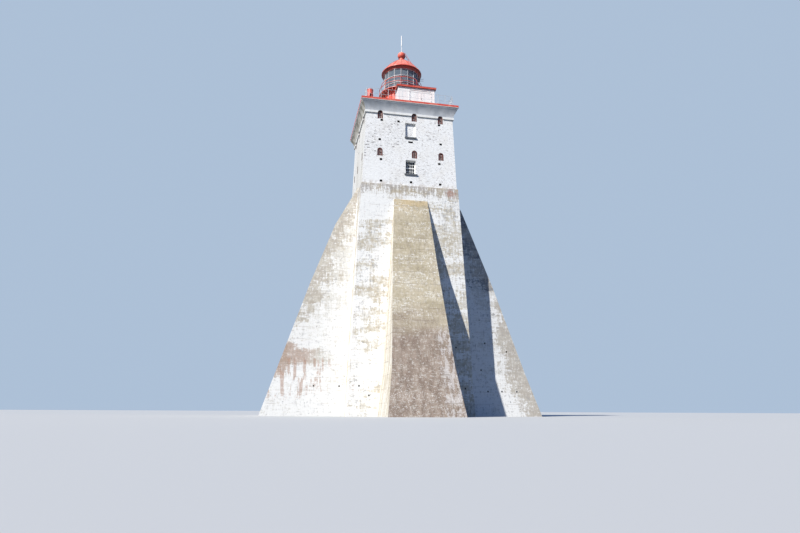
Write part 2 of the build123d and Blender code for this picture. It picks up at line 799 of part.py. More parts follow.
def lightning_rod():
    """Rod with a flange, a thin lower part and a thicker upper part."""
    foot = ball_flat()
    thin = foot + ROD_THIN_LENGTH
    top = foot + ROD_LENGTH
    profile = Polygon(
        (0, foot), (ROD_FOOT_RADIUS, foot), (ROD_FOOT_RADIUS, foot + ROD_FLANGE),
        (ROD_THIN_RADIUS, foot + ROD_FLANGE), (ROD_THIN_RADIUS, thin), (ROD_THICK_RADIUS, thin),
        (ROD_THICK_RADIUS, top - ROD_THICK_RADIUS), (0, top), align=None,
    )
    return revolve(Plane.XZ * profile, Axis.Z)


def dome_ladder():
    """Ladder leaning from the dome's slope to the ball, trimmed where it seats."""
    head = Vector(LADDER_HEAD_RADIUS, 0, BALL_LEVEL + LADDER_HEAD_ABOVE_BALL)
    foot = Vector(LADDER_FOOT_RADIUS, 0, EAVE_TOP + LADDER_FOOT_RISE)
    run = foot - head
    ladder = None
    for side in (-1, 1):
        start = head + Vector(0, side * LADDER_WIDTH / 2, 0)
        bar = extrude(Plane(origin=start, z_dir=run) * Circle(LADDER_BAR / 2), run.length)
        ladder = bar if ladder is None else ladder + bar
    first = LADDER_FIRST_RUNG / run.length
    for index in range(LADDER_RUNGS):
        place = head + run * (first + (1 - first) * index / LADDER_RUNGS)
        rung = Plane(origin=place - Vector(0, LADDER_WIDTH / 2, 0), z_dir=(0, 1, 0))
        ladder += extrude(rung * Circle(LADDER_RUNG_RADIUS), LADDER_WIDTH)
    return Rot(0, 0, LADDER_TURN) * ladder - solid_dome() - dome() - vent_ball()


def aerial():
    """Small block clamped on a post of the glazing, with two arms that reach out past the eave."""
    root = GLAZING_APOTHEM / cos(radians(180 / FACETS)) + FIT
    middle = LANTERN_FLOOR + AERIAL_RISE
    fitting = block(
        root, root + AERIAL_BLOCK, -AERIAL_BLOCK / 2, AERIAL_BLOCK / 2,
        middle - AERIAL_ARM_SPREAD / 2 - AERIAL_BLOCK / 2, middle + AERIAL_ARM_SPREAD / 2,
    )
    for side in (-1, 1):
        start = Plane(origin=(root + AERIAL_BLOCK / 2, 0, middle + side * AERIAL_ARM_SPREAD / 2),
                      z_dir=(1, 0, 0))
        fitting += extrude(start * Circle(AERIAL_ARM_RADIUS), AERIAL_ARM_LENGTH)
    return Rot(0, 0, AERIAL_TURN) * fitting


def pedestal():
    """Turned pedestal between two flanges."""
    foot = LANTERN_FLOOR
    top = foot + PEDESTAL_HEIGHT
    profile = Polygon(
        (0, foot), (PEDESTAL_FLANGE, foot), (PEDESTAL_FLANGE, foot + FLANGE_THICKNESS),
        (PEDESTAL_RADIUS, foot + 2 * FLANGE_THICKNESS), (PEDESTAL_RADIUS, top - 2 * FLANGE_THICKNESS),
        (PEDESTAL_FLANGE, top - FLANGE_THICKNESS), (PEDESTAL_FLANGE, top), (0, top), align=None,
    )
    return revolve(Plane.XZ * profile, Axis.Z)


def lens():
    """Barrel of stacked prism rings around an open core."""
    foot = LANTERN_FLOOR + PEDESTAL_HEIGHT
    step = LENS_HEIGHT / LENS_RINGS
    points = [(LENS_BORE, foot)]
    for index in range(LENS_RINGS):
        share = abs(2 * (index + 0.5) / LENS_RINGS - 1)
        radius = LENS_RADIUS - (LENS_RADIUS - LENS_WAIST) * share ** 2
        points.append((radius - LENS_RING_DEPTH, foot + index * step))
        points.append((radius, foot + (index + 0.5) * step))
    points.append((LENS_WAIST - LENS_RING_DEPTH, foot + LENS_HEIGHT))
    points.append((LENS_BORE, foot + LENS_HEIGHT))
    return revolve(Plane.XZ * Polygon(*points, align=None), Axis.Z)


def cabin_rear():
    """Distance of the cabin's rear face from the axis, just clear of the brackets' feet."""
    return DRUM_RADIUS + RIB_DEPTH + BRACKET_THICKNESS + CABIN_GAP


def door_left():
    """Left edge of the door opening."""
    return CABIN_LEFT + CABIN_WIDTH - DOOR_MARGIN - DOOR_WIDTH


def cabin_front_wall():
    """Front wall with the door opening and a raised frame on its blank panel."""
    front = -CABIN_FRONT
    wall = block(
        CABIN_LEFT, CABIN_LEFT + CABIN_WIDTH, front, front + CABIN_WALL,
        DECK_TOP, DECK_TOP + CABIN_HEIGHT,
    )
    left = door_left()
    opening = block(
        left, left + DOOR_WIDTH, front, front + CABIN_WALL, DECK_TOP, DECK_TOP + DOOR_HEIGHT
    )
    panel = block(
        CABIN_LEFT + 2 * DOOR_FRAME, left - 2 * DOOR_FRAME, front, front + DOOR_PANEL_DEPTH,
        DECK_TOP + 2 * DOOR_FRAME, DECK_TOP + DOOR_HEIGHT - DOOR_FRAME,
    )
    return wall - opening - panel


def cabin_doors():
    """Two closed leaves with sunk panels."""
    left = door_left()
    front = -CABIN_FRONT + DOOR_THICKNESS / 2
    leaf_width = DOOR_WIDTH / 2
    leaves = []
    for index in range(2):
        low = left + index * leaf_width + FIT
        high = low + leaf_width - 2 * FIT
        leaf = block(low, high, front, front + DOOR_THICKNESS, DECK_TOP, DECK_TOP + DOOR_HEIGHT - FIT)
        panel = block(
            low + DOOR_FRAME, high - DOOR_FRAME, front, front + DOOR_PANEL_DEPTH,
            DECK_TOP + 2 * DOOR_FRAME, DECK_TOP + DOOR_HEIGHT - 2 * DOOR_FRAME,
        )
        leaves.append(leaf - panel)
    return leaves


def cabin_walls():
    """The two side walls and the rear wall."""
    low, high = DECK_TOP, DECK_TOP + CABIN_HEIGHT
    right = CABIN_LEFT + CABIN_WIDTH
    front, rear = -CABIN_FRONT + CABIN_WALL, -cabin_rear()
    return [
        block(CABIN_LEFT, CABIN_LEFT + CABIN_WALL, front, rear, low, high),
        block(right - CABIN_WALL, right, front, rear, low, high),
        block(
            CABIN_LEFT + CABIN_WALL + FIT, right - CABIN_WALL - FIT, rear - CABIN_WALL, rear, low, high
        ),
    ]


def cabin_roof():
    """Flat roof that stands out on three sides and falls short of the drum."""
    low = DECK_TOP + CABIN_HEIGHT
    return block(
        CABIN_LEFT - ROOF_OVERHANG, CABIN_LEFT + CABIN_WIDTH + ROOF_OVERHANG,
        -CABIN_FRONT - ROOF_OVERHANG, -cabin_rear(), low, low + ROOF_THICKNESS,
    )


def vent_pipe():
    """Upright pipe with a lipped cap and a small arched opening."""
    pipe = Cylinder(VENT_RADIUS, VENT_HEIGHT, align=ON_FOOT)
    pipe += Pos(0, 0, VENT_HEIGHT - VENT_CAP_HEIGHT) * Cylinder(
        VENT_RADIUS + VENT_CAP_LIP, VENT_CAP_HEIGHT, align=ON_FOOT
    )
    pipe -= Cylinder(VENT_RADIUS - VENT_WALL, VENT_HEIGHT - VENT_WALL, align=ON_FOOT)
    opening = Pos(0, -VENT_RADIUS - VENT_WALL, VENT_DOOR_FOOT) * arched_prism(
        VENT_DOOR_WIDTH, VENT_DOOR_HEIGHT, VENT_RADIUS
    )
    return Pos(VENT_X, VENT_Y, DECK_TOP) * (pipe - opening)


def hatch_rail():
    """Bent pipe standing on the deck to the right of the cabin."""
    left = CABIN_LEFT + CABIN_WIDTH + HATCH_RAIL_GAP
    right = left + HATCH_RAIL_WIDTH
    top = DECK_TOP + HATCH_RAIL_HEIGHT
    path = FilletPolyline(
        (left, -CABIN_FRONT, DECK_TOP), (left, -CABIN_FRONT, top),
        (right, -CABIN_FRONT, top), (right, -CABIN_FRONT, DECK_TOP),
        radius=HATCH_RAIL_BEND,
    )
    start = Plane(origin=(left, -CABIN_FRONT, DECK_TOP), z_dir=(0, 0, 1))
    return sweep(start * Circle(HATCH_RAIL_BAR / 2), path)


def floor_plate(low, high):
    """A floor that fills the square well between two levels."""
    half = ROOM_HALF - FIT
    return block(-half, half, -half, half, low, high)


def floors():
    """Ground floor, the floor of the window room and the floor of the room above."""
    window_floor = WINDOW_SILL - WINDOW_FLOOR_BELOW_SILL
    niche_floor = NICHE_SILL - NICHE_FLOOR_BELOW_SILL
    return [
        floor_plate(0, GROUND_FLOOR),
        floor_plate(window_floor - FLOOR_THICKNESS, window_floor),
        floor_plate(niche_floor - FLOOR_THICKNESS, niche_floor),
    ]


def front_and_rear(piece):
    """A front piece and its repeat on the rear."""
    return [piece, Rot(0, 0, SIDES["rear"]) * piece]


def save(name, solids):
    """Write one node, from one solid or several that stay apart."""
    solids = solids if isinstance(solids, list) else [solids]
    separate = [solid for item in solids for solid in item.solids()]
    shape = separate[0] if len(separate) == 1 else Compound(children=separate)
    shape.label = name
    export_step(shape, f"parts/{name}.step")


def main():
    """Build every node and write it to its own file."""
    os.makedirs("parts", exist_ok=True)
    window_wall = front_wall()
    plain_wall = side_wall()
    walls = {"front": window_wall, "rear": window_wall, "left": plain_wall, "right": plain_wall}
    buttresses = {
        "front": front_buttress(), "rear": front_buttress(),
        "left": side_buttress(LEFT_TIES, LEFT_HEAD_DROP), "right": side_buttress(RIGHT_TIES, RIGHT_HEAD_DROP),
    }
    mirrored = {"front": 1, "rear": 1, "left": -1, "right": -1}
    for side, angle in SIDES.items():
        turn = Rot(0, 0, angle)
        front_or_rear = side in ("front", "rear")
        save(f"wall_{side}", turn * walls[side])
        save(f"jacket_{side}", turn * (front_jacket() if front_or_rear else mitred(jacket_outline())))
        save(f"buttress_{side}", turn * buttresses[side])
        save(f"cornice_{side}", turn * (cornice() - slot_cutters(mirrored[side])))
        save(f"railing_{side}", turn * (front_railing() if front_or_rear else side_railing()))
    irons = [
        Rot(0, 0, angle) * anchor
        for side, angle in SIDES.items()
        for anchor in anchors(mirrored[side])
    ]
    save("anchor_irons", irons)
    save("window_sills", [turned for sill in sills() for turned in front_and_rear(sill)])
    save("window_frames", front_and_rear(window_frame()))
    save("window_glass", front_and_rear(window_pane()))
    save("floors", floors())
    save("gallery_deck", block(-DECK_HALF, DECK_HALF, -DECK_HALF, DECK_HALF, CORNICE_TOP, DECK_TOP))
    edging = deck_edging()
    save("deck_edging", [Rot(0, 0, angle) * edging for angle in SIDES.values()])
    save("lantern_drum", drum())
    floor_disc = Pos(0, 0, DRUM_TOP) * Cylinder(DRUM_RADIUS, CATWALK_THICKNESS, align=ON_FOOT)
    save("lantern_floor", floor_disc)
    walk = rectangle_profile(DRUM_RADIUS + FIT, CATWALK_RADIUS, DRUM_TOP, LANTERN_FLOOR)
    save("catwalk", ring(walk, CATWALK_BAYS, DRUM_RADIUS, FACET_TURN))
    bracket = catwalk_bracket()
    save("catwalk_brackets", [
        Rot(0, 0, FACET_TURN + index * 360 / RIBS) * bracket for index in range(RIBS)
    ])
    bay = catwalk_rail_bay()
    save("catwalk_rail", [
        Rot(0, 0, FACET_TURN + (index + 0.5) * 360 / CATWALK_BAYS) * bay
        for index in range(CATWALK_BAYS)
    ])
    save("glazing_frames", facet_frames())
    save("lantern_glass", facet_panes())
    save("lantern_eave", eave())
    save("lantern_dome", dome())
    save("vent_ball", vent_ball())
    save("lightning_rod", lightning_rod())
    save("dome_ladder", dome_ladder())
    save("aerial", aerial())
    save("lens", lens())
    save("lens_pedestal", pedestal())
    save("cabin_front_wall", cabin_front_wall())
    save("cabin_doors", cabin_doors())
    save("cabin_walls", cabin_walls())
    save("cabin_roof", cabin_roof())
    save("vent_pipe", vent_pipe())
    save("hatch_rail", hatch_rail())


main()
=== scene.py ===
# %% [markdown]
# # A square stone lighthouse with four buttresses
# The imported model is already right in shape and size, in metres, with the front towards -Y. This
# lesson dresses it. It sets up the camera and the light, makes one finish for each material of the
# real building, and then models the small things that the solids leave out.

import json
import math

import bpy
from mathutils import Matrix, Vector, noise


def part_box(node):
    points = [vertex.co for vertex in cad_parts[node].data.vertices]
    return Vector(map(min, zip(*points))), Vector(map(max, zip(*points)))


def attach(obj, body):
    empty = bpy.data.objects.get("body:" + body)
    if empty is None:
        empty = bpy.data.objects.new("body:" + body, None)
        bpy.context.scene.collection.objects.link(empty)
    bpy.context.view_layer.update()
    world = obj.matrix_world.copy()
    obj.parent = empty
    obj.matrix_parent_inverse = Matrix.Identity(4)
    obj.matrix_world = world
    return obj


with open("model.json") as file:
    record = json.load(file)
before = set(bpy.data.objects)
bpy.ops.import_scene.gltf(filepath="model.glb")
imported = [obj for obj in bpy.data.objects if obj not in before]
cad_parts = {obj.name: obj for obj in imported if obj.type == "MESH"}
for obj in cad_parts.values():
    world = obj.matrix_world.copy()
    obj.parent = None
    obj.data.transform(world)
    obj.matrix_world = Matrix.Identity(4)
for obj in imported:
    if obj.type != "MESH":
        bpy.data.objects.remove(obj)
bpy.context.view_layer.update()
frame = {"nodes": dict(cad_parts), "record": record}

# %% [markdown]
# ## Camera
# The building was seen from low ground, a little to its left, with the camera tilted up. Walls that
# lean back and lines that meet upwards only come out right from that same place, so the eye, the turn
# and the lens are given as numbers that were solved from the corners of the building.

# %% Camera
EYE = (-10.374, -52.152, 0.414)
TURN_RIGHT = 0.1953
TILT_UP = 0.2409
ROLL = 0.0046
LENS = 26.503
SENSOR = 36
VIEW_END = 2000

camera_data = bpy.data.cameras.new("camera")
camera_data.sensor_width = SENSOR
camera_data.lens = LENS
camera_data.clip_end = VIEW_END
camera = bpy.data.objects.new("camera", camera_data)
bpy.context.scene.collection.objects.link(camera)
tilt = Matrix.Rotation(math.pi / 2 + TILT_UP, 4, "X") @ Matrix.Rotation(ROLL, 4, "Z")
camera.matrix_world = Matrix.Translation(EYE) @ Matrix.Rotation(-TURN_RIGHT, 4, "Z") @ tilt
bpy.context.scene.camera = camera
bpy.context.scene.view_settings.view_transform = "Standard"
print("camera at", EYE, "lens", LENS, "mm")

# %% [markdown]
# ## Finishes in expressions
# A wall's look is arithmetic: how much paint has gone, times how much rain runs there. Level wraps a
# socket so that such sums can be written as sums. Web holds a tree of nodes and adds to it, and Finish
# is the web of one material, with the place on the object ready as x, y and z. Linking the same nodes
# by hand would take hundreds of lines, and the sums would be lost in them.


# %% Expressions on sockets
class Level:
    """A socket of a web. Sums and products with it add Math nodes."""

    def __init__(self, web, socket):
        self.web = web
        self.socket = socket

    def maths(self, operation, *others):
        return self.web.add("Math", {"operation": operation}, dict(enumerate((self, *others))))

    def __add__(self, other):
        return self.maths("ADD", other)

    def __sub__(self, other):
        return self.maths("SUBTRACT", other)

    def __rsub__(self, other):
        return self * -1 + other

    def __mul__(self, other):
        return self.maths("MULTIPLY", other)

    def __truediv__(self, other):
        return self.maths("DIVIDE", other)

    def __abs__(self):
        return self.maths("ABSOLUTE")

    __radd__ = __add__
    __rmul__ = __mul__

    def least(self, other):
        return self.maths("MINIMUM", other)

    def most(self, other):
        return self.maths("MAXIMUM", other)

    def part(self):
        """What is left over the last whole number."""
        return self.maths("FRACT")


# %% A web of nodes
class Web:
    """A tree of nodes. Every node comes from add()."""

    def __init__(self, tree):
        self.tree = tree

    def add(self, kind, settings, sockets, output=0):
        """A node of that type, with its settings, and values or links in its sockets."""
        node = self.tree.nodes.new("ShaderNode" + kind)
        for setting, value in settings.items():
            setattr(node, setting, value)
        for socket, value in sockets.items():
            self.feed(node.inputs[socket], value)
        return Level(self, node.outputs[output] if node.outputs else None)

    def feed(self, socket, value):
        """Put a link, a number, a point or a colour in a socket."""
        if isinstance(value, Level):
            self.tree.links.new(value.socket, socket)
        elif socket.type == "RGBA":
            socket.default_value = (*value, 1)
        else:
            socket.default_value = value

    def ramp(self, value, low, high):
        """0 below low and 1 above high."""
        return self.add(
            "MapRange", {"interpolation_type": "SMOOTHSTEP"},
            {"Value": value, "From Min": low, "From Max": high},
        )

    def mix(self, share, under, over):
        """Two colours, with a share of the second."""
        return self.add("Mix", {"data_type": "RGBA"}, {0: share, 6: under, 7: over}, 2)

    def seen(self, *rays):
        """1 for the named kinds of ray."""
        total = self.add("LightPath", {}, {}, rays[0])
        for ray in rays[1:]:
            total = total.most(self.add("LightPath", {}, {}, ray))
        return total


# %% One finish
class Finish(Web):
    """One material."""

    def __init__(self, name, roughness=0.8):
        self.material = bpy.data.materials.new(name)
        self.material.use_nodes = True
        super().__init__(self.material.node_tree)
        self.shader = self.tree.nodes["Principled BSDF"]
        self.set(roughness=roughness)
        self.place = self.add("TexCoord", {}, {}, "Object")
        self.x, self.y, self.z = (self.add("SeparateXYZ", {}, {0: self.place}, axis) for axis in range(3))

    def set(self, **sockets):
        """Feed sockets of the shader itself."""
        for name, value in sockets.items():
            self.feed(self.shader.inputs[name.replace("_", " ").title()], value)

    def cloud(self, scale, stretch=(1, 1, 1), detail=3, shift=0.0, rough=0.5):
        """Noise from 0 to 1, with about scale patches to a metre along each stretch."""
        place = self.add(
            "Mapping", {}, {"Vector": self.place, "Location": (shift, shift, shift), "Scale": stretch}
        )
        return self.add(
            "TexNoise", {}, {"Vector": place, "Scale": scale, "Detail": detail, "Roughness": rough}
        )

    def patches(self, low, high, scale, stretch=(1, 1, 1), detail=3, shift=0.0):
        """Where that noise passes from low to high."""
        return self.ramp(self.cloud(scale, stretch, detail, shift), low, high)

    def streaks(self, across, low, high, shift=0.0, down=0.10):
        """Patches drawn out down the face."""
        return self.patches(low, high, 1.0, (across, across, down), 5, shift)

    def facing(self, axis):
        """The surface's direction along an axis, from -1 to 1."""
        normal = self.add("NewGeometry", {}, {}, "True Normal")
        return self.add("SeparateXYZ", {}, {0: normal}, axis)

    def on_front(self):
        """1 on surfaces that face the front."""
        return self.ramp(self.facing(1) * -1, 0.5, 0.8)

    def on_left(self, full=0.8):
        """1 on surfaces that face the weather, on the left."""
        return self.ramp(self.facing(0) * -1, 0.4, full)

    def spot(self, x, z, inner, outer):
        """1 round a place on the front and 0 beyond it."""
        flat = self.add("CombineXYZ", {}, {0: self.x, 2: self.z})
        away = self.add("VectorMath", {"operation": "DISTANCE"}, {0: flat, 1: (x, 0, z)}, "Value")
        return (1 - self.ramp(away, inner, outer)) * self.on_front()

    def relief(self, height, depth):
        """Bumps as deep as that many metres."""
        self.set(normal=self.add("Bump", {}, {"Height": height, "Distance": depth, "Strength": 1.0}))


# %% [markdown]
# ## Light and floor
# The main lamp stands high at the front left, so that the front buttress throws its shadow over the
# jacket and the right buttress. A weak, very soft lamp at the front lightens the shade in niches, and a
# dim even world fills the rest. The camera sees a pale backdrop and a pale floor, while other rays meet
# a duller floor, so that little light comes back up under the cornice, as over open ground.

# %% Lamps
KEY_FROM = Vector((-1.24, -1.0, 1.22))
KEY_STRENGTH = 5.0
KEY_SOFTNESS = 0.015
KEY_TINT = (1.0, 0.975, 0.91)
FRONT_FROM = Vector((-0.1, -1.0, 0.12))
FRONT_STRENGTH = 0.14
FRONT_SOFTNESS = 1.2
FRONT_TINT = (0.95, 0.98, 1.0)


def sun(name, source, strength, softness, tint):
    """A lamp far away in a direction."""
    lamp_data = bpy.data.lights.new(name, "SUN")
    lamp_data.energy = strength
    lamp_data.angle = softness
    lamp_data.color = tint
    lamp = bpy.data.objects.new(name, lamp_data)
    lamp.rotation_euler = source.to_track_quat("Z", "Y").to_euler()
    bpy.context.scene.collection.objects.link(lamp)
    print("lamp", name, strength)


sun("key", KEY_FROM, KEY_STRENGTH, KEY_SOFTNESS, KEY_TINT)
sun("front", FRONT_FROM, FRONT_STRENGTH, FRONT_SOFTNESS, FRONT_TINT)

# %% World
FILL = (0.038, 0.112, 0.31)
BACKGROUND = (0.42, 0.53, 0.68)
PLAIN_RAYS = ("Is Camera Ray", "Is Glossy Ray", "Is Transmission Ray")

world = bpy.data.worlds.new("world")
bpy.context.scene.world = world
world.use_nodes = True
world.node_tree.nodes.clear()
sky = Web(world.node_tree)
light = sky.add("Background", {}, {"Color": FILL, "Strength": 1.0})
backdrop = sky.add("Background", {}, {"Color": BACKGROUND, "Strength": 1.0})
both = sky.add("MixShader", {}, {0: sky.seen(*PLAIN_RAYS), 1: light, 2: backdrop})
sky.add("OutputWorld", {}, {"Surface": both})
print("world nodes", len(world.node_tree.nodes))

# %% Floor
FLOOR_SIZE = 1600
PALE_FLOOR = (0.60, 0.60, 0.59)
DULL_FLOOR = (0.09, 0.10, 0.09)

bpy.ops.object.select_all(action="DESELECT")
bpy.ops.mesh.primitive_plane_add(size=FLOOR_SIZE, location=(0, 0, 0))
floor = bpy.context.object
floor.name = "floor"
floor_finish = Finish("floor", 0.9)
floor_colour = floor_finish.mix(floor_finish.seen(*PLAIN_RAYS), DULL_FLOOR, PALE_FLOOR)
floor_finish.set(base_color=floor_colour)
floor.data.materials.append(floor_finish.material)
print("floor", FLOOR_SIZE, "m wide")

# %% [markdown]
# ## Limewashed rubble
# The upper walls are rough stones laid in courses and painted over with lime many times. From afar
# they are white with a faint grey mottle. Where rain has taken the lime, short dark dashes show the
# level joints. Single stones would cost far too many faces for so little depth, so a Voronoi pattern
# squeezed flat gives the stones, and its edges are the joints.

# %% Stones and holes of the wall
UPPER_WALL_FOOT = 19.78
WALL_FACE = 4.275
WALL_LEAN = 0.0325
OPENINGS_CENTRE = 0.05
OPENINGS_HALF = 0.53
OPENING_LEVELS = ((20.90, 22.34), (24.50, 26.02))


def wall_face(level):
    """How far the leaning wall's face is from the tower's axis, for a number or a socket."""
    return WALL_FACE - (level - UPPER_WALL_FOOT) * WALL_LEAN


def stones(finish, length, height, wobble=0.35):
    """Distance from each stone's edge, in stone sizes: 0 in the joints, about 0.4 in the middle."""
    scale = (1 / length, 1 / length, 1 / height)
    place = finish.add("Mapping", {}, {"Vector": finish.place, "Scale": scale})
    shake = finish.add("TexNoise", {}, {"Vector": place, "Scale": 1.3, "Detail": 1.0}, "Color")
    moved = finish.add("VectorMath", {"operation": "MULTIPLY_ADD"}, {0: shake, 1: (wobble,) * 3, 2: place})
    return finish.add("TexVoronoi", {"feature": "DISTANCE_TO_EDGE"}, {"Vector": moved, "Scale": 1.0})


def painted_hole_shade(finish):
    """1 inside the small holes of the wall, where their shade is painted as a dark colour."""
    depth = wall_face(finish.z) - abs(finish.x).most(abs(finish.y))
    column = 1 - finish.ramp(abs(finish.x - OPENINGS_CENTRE), OPENINGS_HALF, OPENINGS_HALF + 0.02)
    painted = 0
    for low, high in OPENING_LEVELS:
        reach = (high - low) / 2
        painted = (1 - finish.ramp(abs(finish.z - (low + reach)), reach, reach + 0.02)) + painted
    return finish.ramp(depth, 0.003, 0.012) * (1 - column * painted)


# %% Limewash
WHITE_LIME = (0.95, 0.95, 0.95)
GREY_LIME = (0.58, 0.585, 0.62)
WARM_LIME = (0.86, 0.83, 0.79)
CREAM_LIME = (0.66, 0.64, 0.59)
GREY_FLECK = (0.36, 0.32, 0.30)
DARK_JOINT = (0.16, 0.14, 0.14)
BROWN_DIRT = (0.46, 0.38, 0.31)
# Painted shade for the inside of the wall's small holes.
PAINTED_HOLE_SHADE = (0.015, 0.013, 0.014)
STONE = (0.40, 0.19)
COURSE = 0.28
SMOOTH_PLACE = (-3.1, 20.9)
THIN_PLACE = (-3.0, 24.1)
BROWN_PLACE = (3.4, 20.4)


def limewash():
    finish = Finish("limewash", 0.92)
    stone = stones(finish, *STONE)
    joint = 1 - finish.ramp(stone, 0.0, 0.12)
    plain = 1 - finish.spot(*SMOOTH_PLACE, 0.8, 1.8) * 0.75
    mottle = finish.ramp(finish.cloud(5.5, (1, 1, 1.4), 6, rough=0.75), 0.50, 0.70) * plain
    white = finish.mix(mottle * 0.60, WHITE_LIME, GREY_LIME)
    fleck = finish.ramp(finish.cloud(6.0, (0.8, 0.8, 1.6), 6, 14.0, 0.8), 0.565, 0.605) * plain
    white = finish.mix(fleck * 0.9, white, GREY_FLECK)
    warm = finish.patches(0.46, 0.66, 0.9, detail=6, shift=3.0) * 0.35 * plain
    white = finish.mix(warm, white, WARM_LIME)
    thin = finish.cloud(0.5, detail=3, shift=6.0) + finish.spot(*THIN_PLACE, 0.5, 2.8) * 0.20
    bare = finish.ramp(thin, 0.52, 0.68)
    waver = finish.cloud(0.8, detail=2) * 0.10
    level = finish.ramp(abs(((finish.z + waver) / COURSE).part() - 0.5), 0.30, 0.40)
    dash = level * finish.patches(0.545, 0.585, 1.0, (3.4, 3.4, 7), 3, 8.0) * bare
    brown_spot = finish.spot(*BROWN_PLACE, 0.5, 1.5)
    pit = finish.patches(0.63, 0.69, 8.0, detail=3, shift=2.0) * (0.35 + brown_spot * 0.5) * plain
    cream = finish.on_left() * (0.35 + finish.streaks(2.0, 0.42, 0.62, 12.0) * 0.5)
    white = finish.mix(cream, white, CREAM_LIME)
    colour = finish.mix((dash * 0.95 + joint * (0.10 + bare * 0.13)).least(0.9), white, DARK_JOINT)
    low = 1 - finish.ramp(finish.z, UPPER_WALL_FOOT + 0.05, UPPER_WALL_FOOT + 0.5)
    run = finish.ramp(finish.z, 25.9, 26.7) * finish.patches(0.50, 0.66, 1.0, (3, 3, 0.3), 3, 5.0)
    dirt = pit + low * finish.patches(0.46, 0.62, 3.0, (1, 1, 0.6), 4, 7.0) * 0.5 + run * 0.15
    colour = finish.mix(dirt.least(0.7), colour, BROWN_DIRT)
    # Painted shade: the small holes of the wall are coloured near black.
    finish.set(base_color=finish.mix(painted_hole_shade(finish), colour, PAINTED_HOLE_SHADE))
    rounded = finish.ramp(stone, 0.0, 0.25)
    finish.relief(rounded * 0.35 + finish.cloud(13, detail=4) * 0.8 - dash * 0.6, 0.012)
    return finish.material


# %% [markdown]
# ## Concrete, painted and bare
# The jacket and the buttresses are concrete cast between boards in level lifts, so stains lie in level
# bands, and rain draws them down. Seen close, both show as a weave of short level and upright flecks.
# Noise that is stretched level or upright gives both without a picture. These parts are the same for
# all three concretes, so they come from shared helpers.

# %% Concrete helpers
LIFT = 1.05
PAINT = (0.93, 0.925, 0.91)
GREY_STREAK = (0.36, 0.35, 0.35)
UMBER = (0.33, 0.255, 0.195)
# Painted shade for the inside of the tie holes.
HOLE_SHADE = (0.012, 0.010, 0.010)
HOLE_HALF = 0.060


def weave(finish, shift=0.0, fine=1.0):
    """Level and upright flecks, from about -0.25 to 0.25."""
    level = finish.cloud(fine, (1.6, 1.6, 7.0), 6, 20.0 + shift, 0.75)
    upright = finish.cloud(fine, (7.0, 7.0, 1.1), 6, 30.0 + shift, 0.75)
    even = finish.cloud(5.0 * fine, (1, 1, 1), 5, 50.0 + shift, 0.75)
    return level * 0.35 + upright * 0.35 + even * 0.30 - 0.5


def broken(finish, share, strength=1.0, shift=0.0, fine=1.0):
    """A soft share turned into flecks that lie as close as the share is high."""
    return finish.ramp(share + weave(finish, shift, fine) * (5.5 * strength), 0.32, 0.70)


def bands(finish, shift=0.0):
    """Noise in level bands about a metre high."""
    return finish.cloud(1.0, (0.24, 0.24, 0.95), 5, shift, 0.6)


def lift_line(finish):
    """1 in the line between two lifts of concrete, broken and wavering."""
    waver = finish.cloud(0.4, detail=2) * 0.14
    line = finish.ramp(abs(((finish.z + waver) / LIFT).part() - 0.5), 0.445, 0.49)
    return line * finish.patches(0.42, 0.60, 1.4, (1, 1, 0.3), 3, 9.0)


def grain(finish, colour, light, dark, share, shift=0.0):
    """The colour with fine chalky flecks and fine dark pits."""
    flecks = weave(finish, 7.0 + shift)
    colour = finish.mix(finish.ramp(flecks, 0.01, 0.08) * share, colour, light)
    return finish.mix(finish.ramp(flecks * -1, 0.02, 0.09) * share, colour, dark)


def with_shaded_holes(finish, colour, places):
    """The colour, with painted shade: near black inside small square holes at those places."""
    inside = 0
    for x, z in places:
        away = abs(finish.x - x).most(abs(finish.z - z))
        inside = (1 - finish.ramp(away, HOLE_HALF + 0.001, HOLE_HALF + 0.004)) + inside
    # Painted shade: the inside of each hole is coloured near black.
    return finish.mix(inside, colour, HOLE_SHADE)


def cast_relief(finish, line, depth=0.012):
    """Grit, shallow waves and the lift lines as bumps."""
    finish.relief(finish.cloud(11, detail=5) + finish.cloud(1.1, (1, 1, 2), 4) - line * 0.6, depth)


# %% [markdown]
# The jacket is white with a dirty band of runs under its ledge, and its paint has gone in tan bands
# on the right and lower down. One brick-red stain sits in the top right corner of the front, and an
# upright tan stripe runs down its weather side. Each stain is one share of one colour, laid over the
# last, so that any of them can be changed alone.

# %% Jacket
JACKET_TOP = 19.78
JACKET_HOLES = ((-4.32, 2.34), (-3.52, 1.61), (3.73, 5.56), (4.41, 2.22))
TAN = (0.55, 0.485, 0.37)
PALE_TAN = (0.68, 0.65, 0.59)
DINGY = (0.34, 0.35, 0.38)
STRIPE_TAN = (0.56, 0.49, 0.37)
STRIPE_LINE = 3.1
DRIP_TAN = (0.41, 0.335, 0.235)
DRIP_GREY = (0.37, 0.33, 0.30)
BRICK_STAIN = (0.40, 0.22, 0.17)
STAIN_PLACE = (3.66, 19.30)


def jacket_wear(finish, front, sheltered):
    """How far the paint of the jacket has gone."""
    middle = (1 - finish.ramp(abs(finish.z - 15.0), 0.6, 1.8)) * front
    right = finish.ramp(finish.x, 1.5, 3.0) * (1 - finish.ramp(finish.z, 15.5, 17.0)) * front
    wear = bands(finish) * 0.7 + finish.cloud(1.0, (1.8, 1.8, 0.2), 6, 3.0) * 0.3
    return finish.ramp(wear + middle * 0.07 + right * 0.05 - sheltered * 0.2, 0.43, 0.60) * 0.75


def ledge_drip(finish):
    """The dirty runs under the jacket's ledge."""
    reach = finish.z + finish.cloud(1.0, (1.6, 1.6, 0.2), 4, 4.0) * 1.6
    band = finish.ramp(reach, JACKET_TOP - 0.95, JACKET_TOP + 0.65)
    drip = broken(finish, band * (0.50 + finish.streaks(5.5, 0.42, 0.58, 9.0, 0.25) * 0.35), 0.9, 5.0)
    return drip.most(finish.ramp(finish.z, JACKET_TOP - 0.16, JACKET_TOP - 0.03) * 0.6)


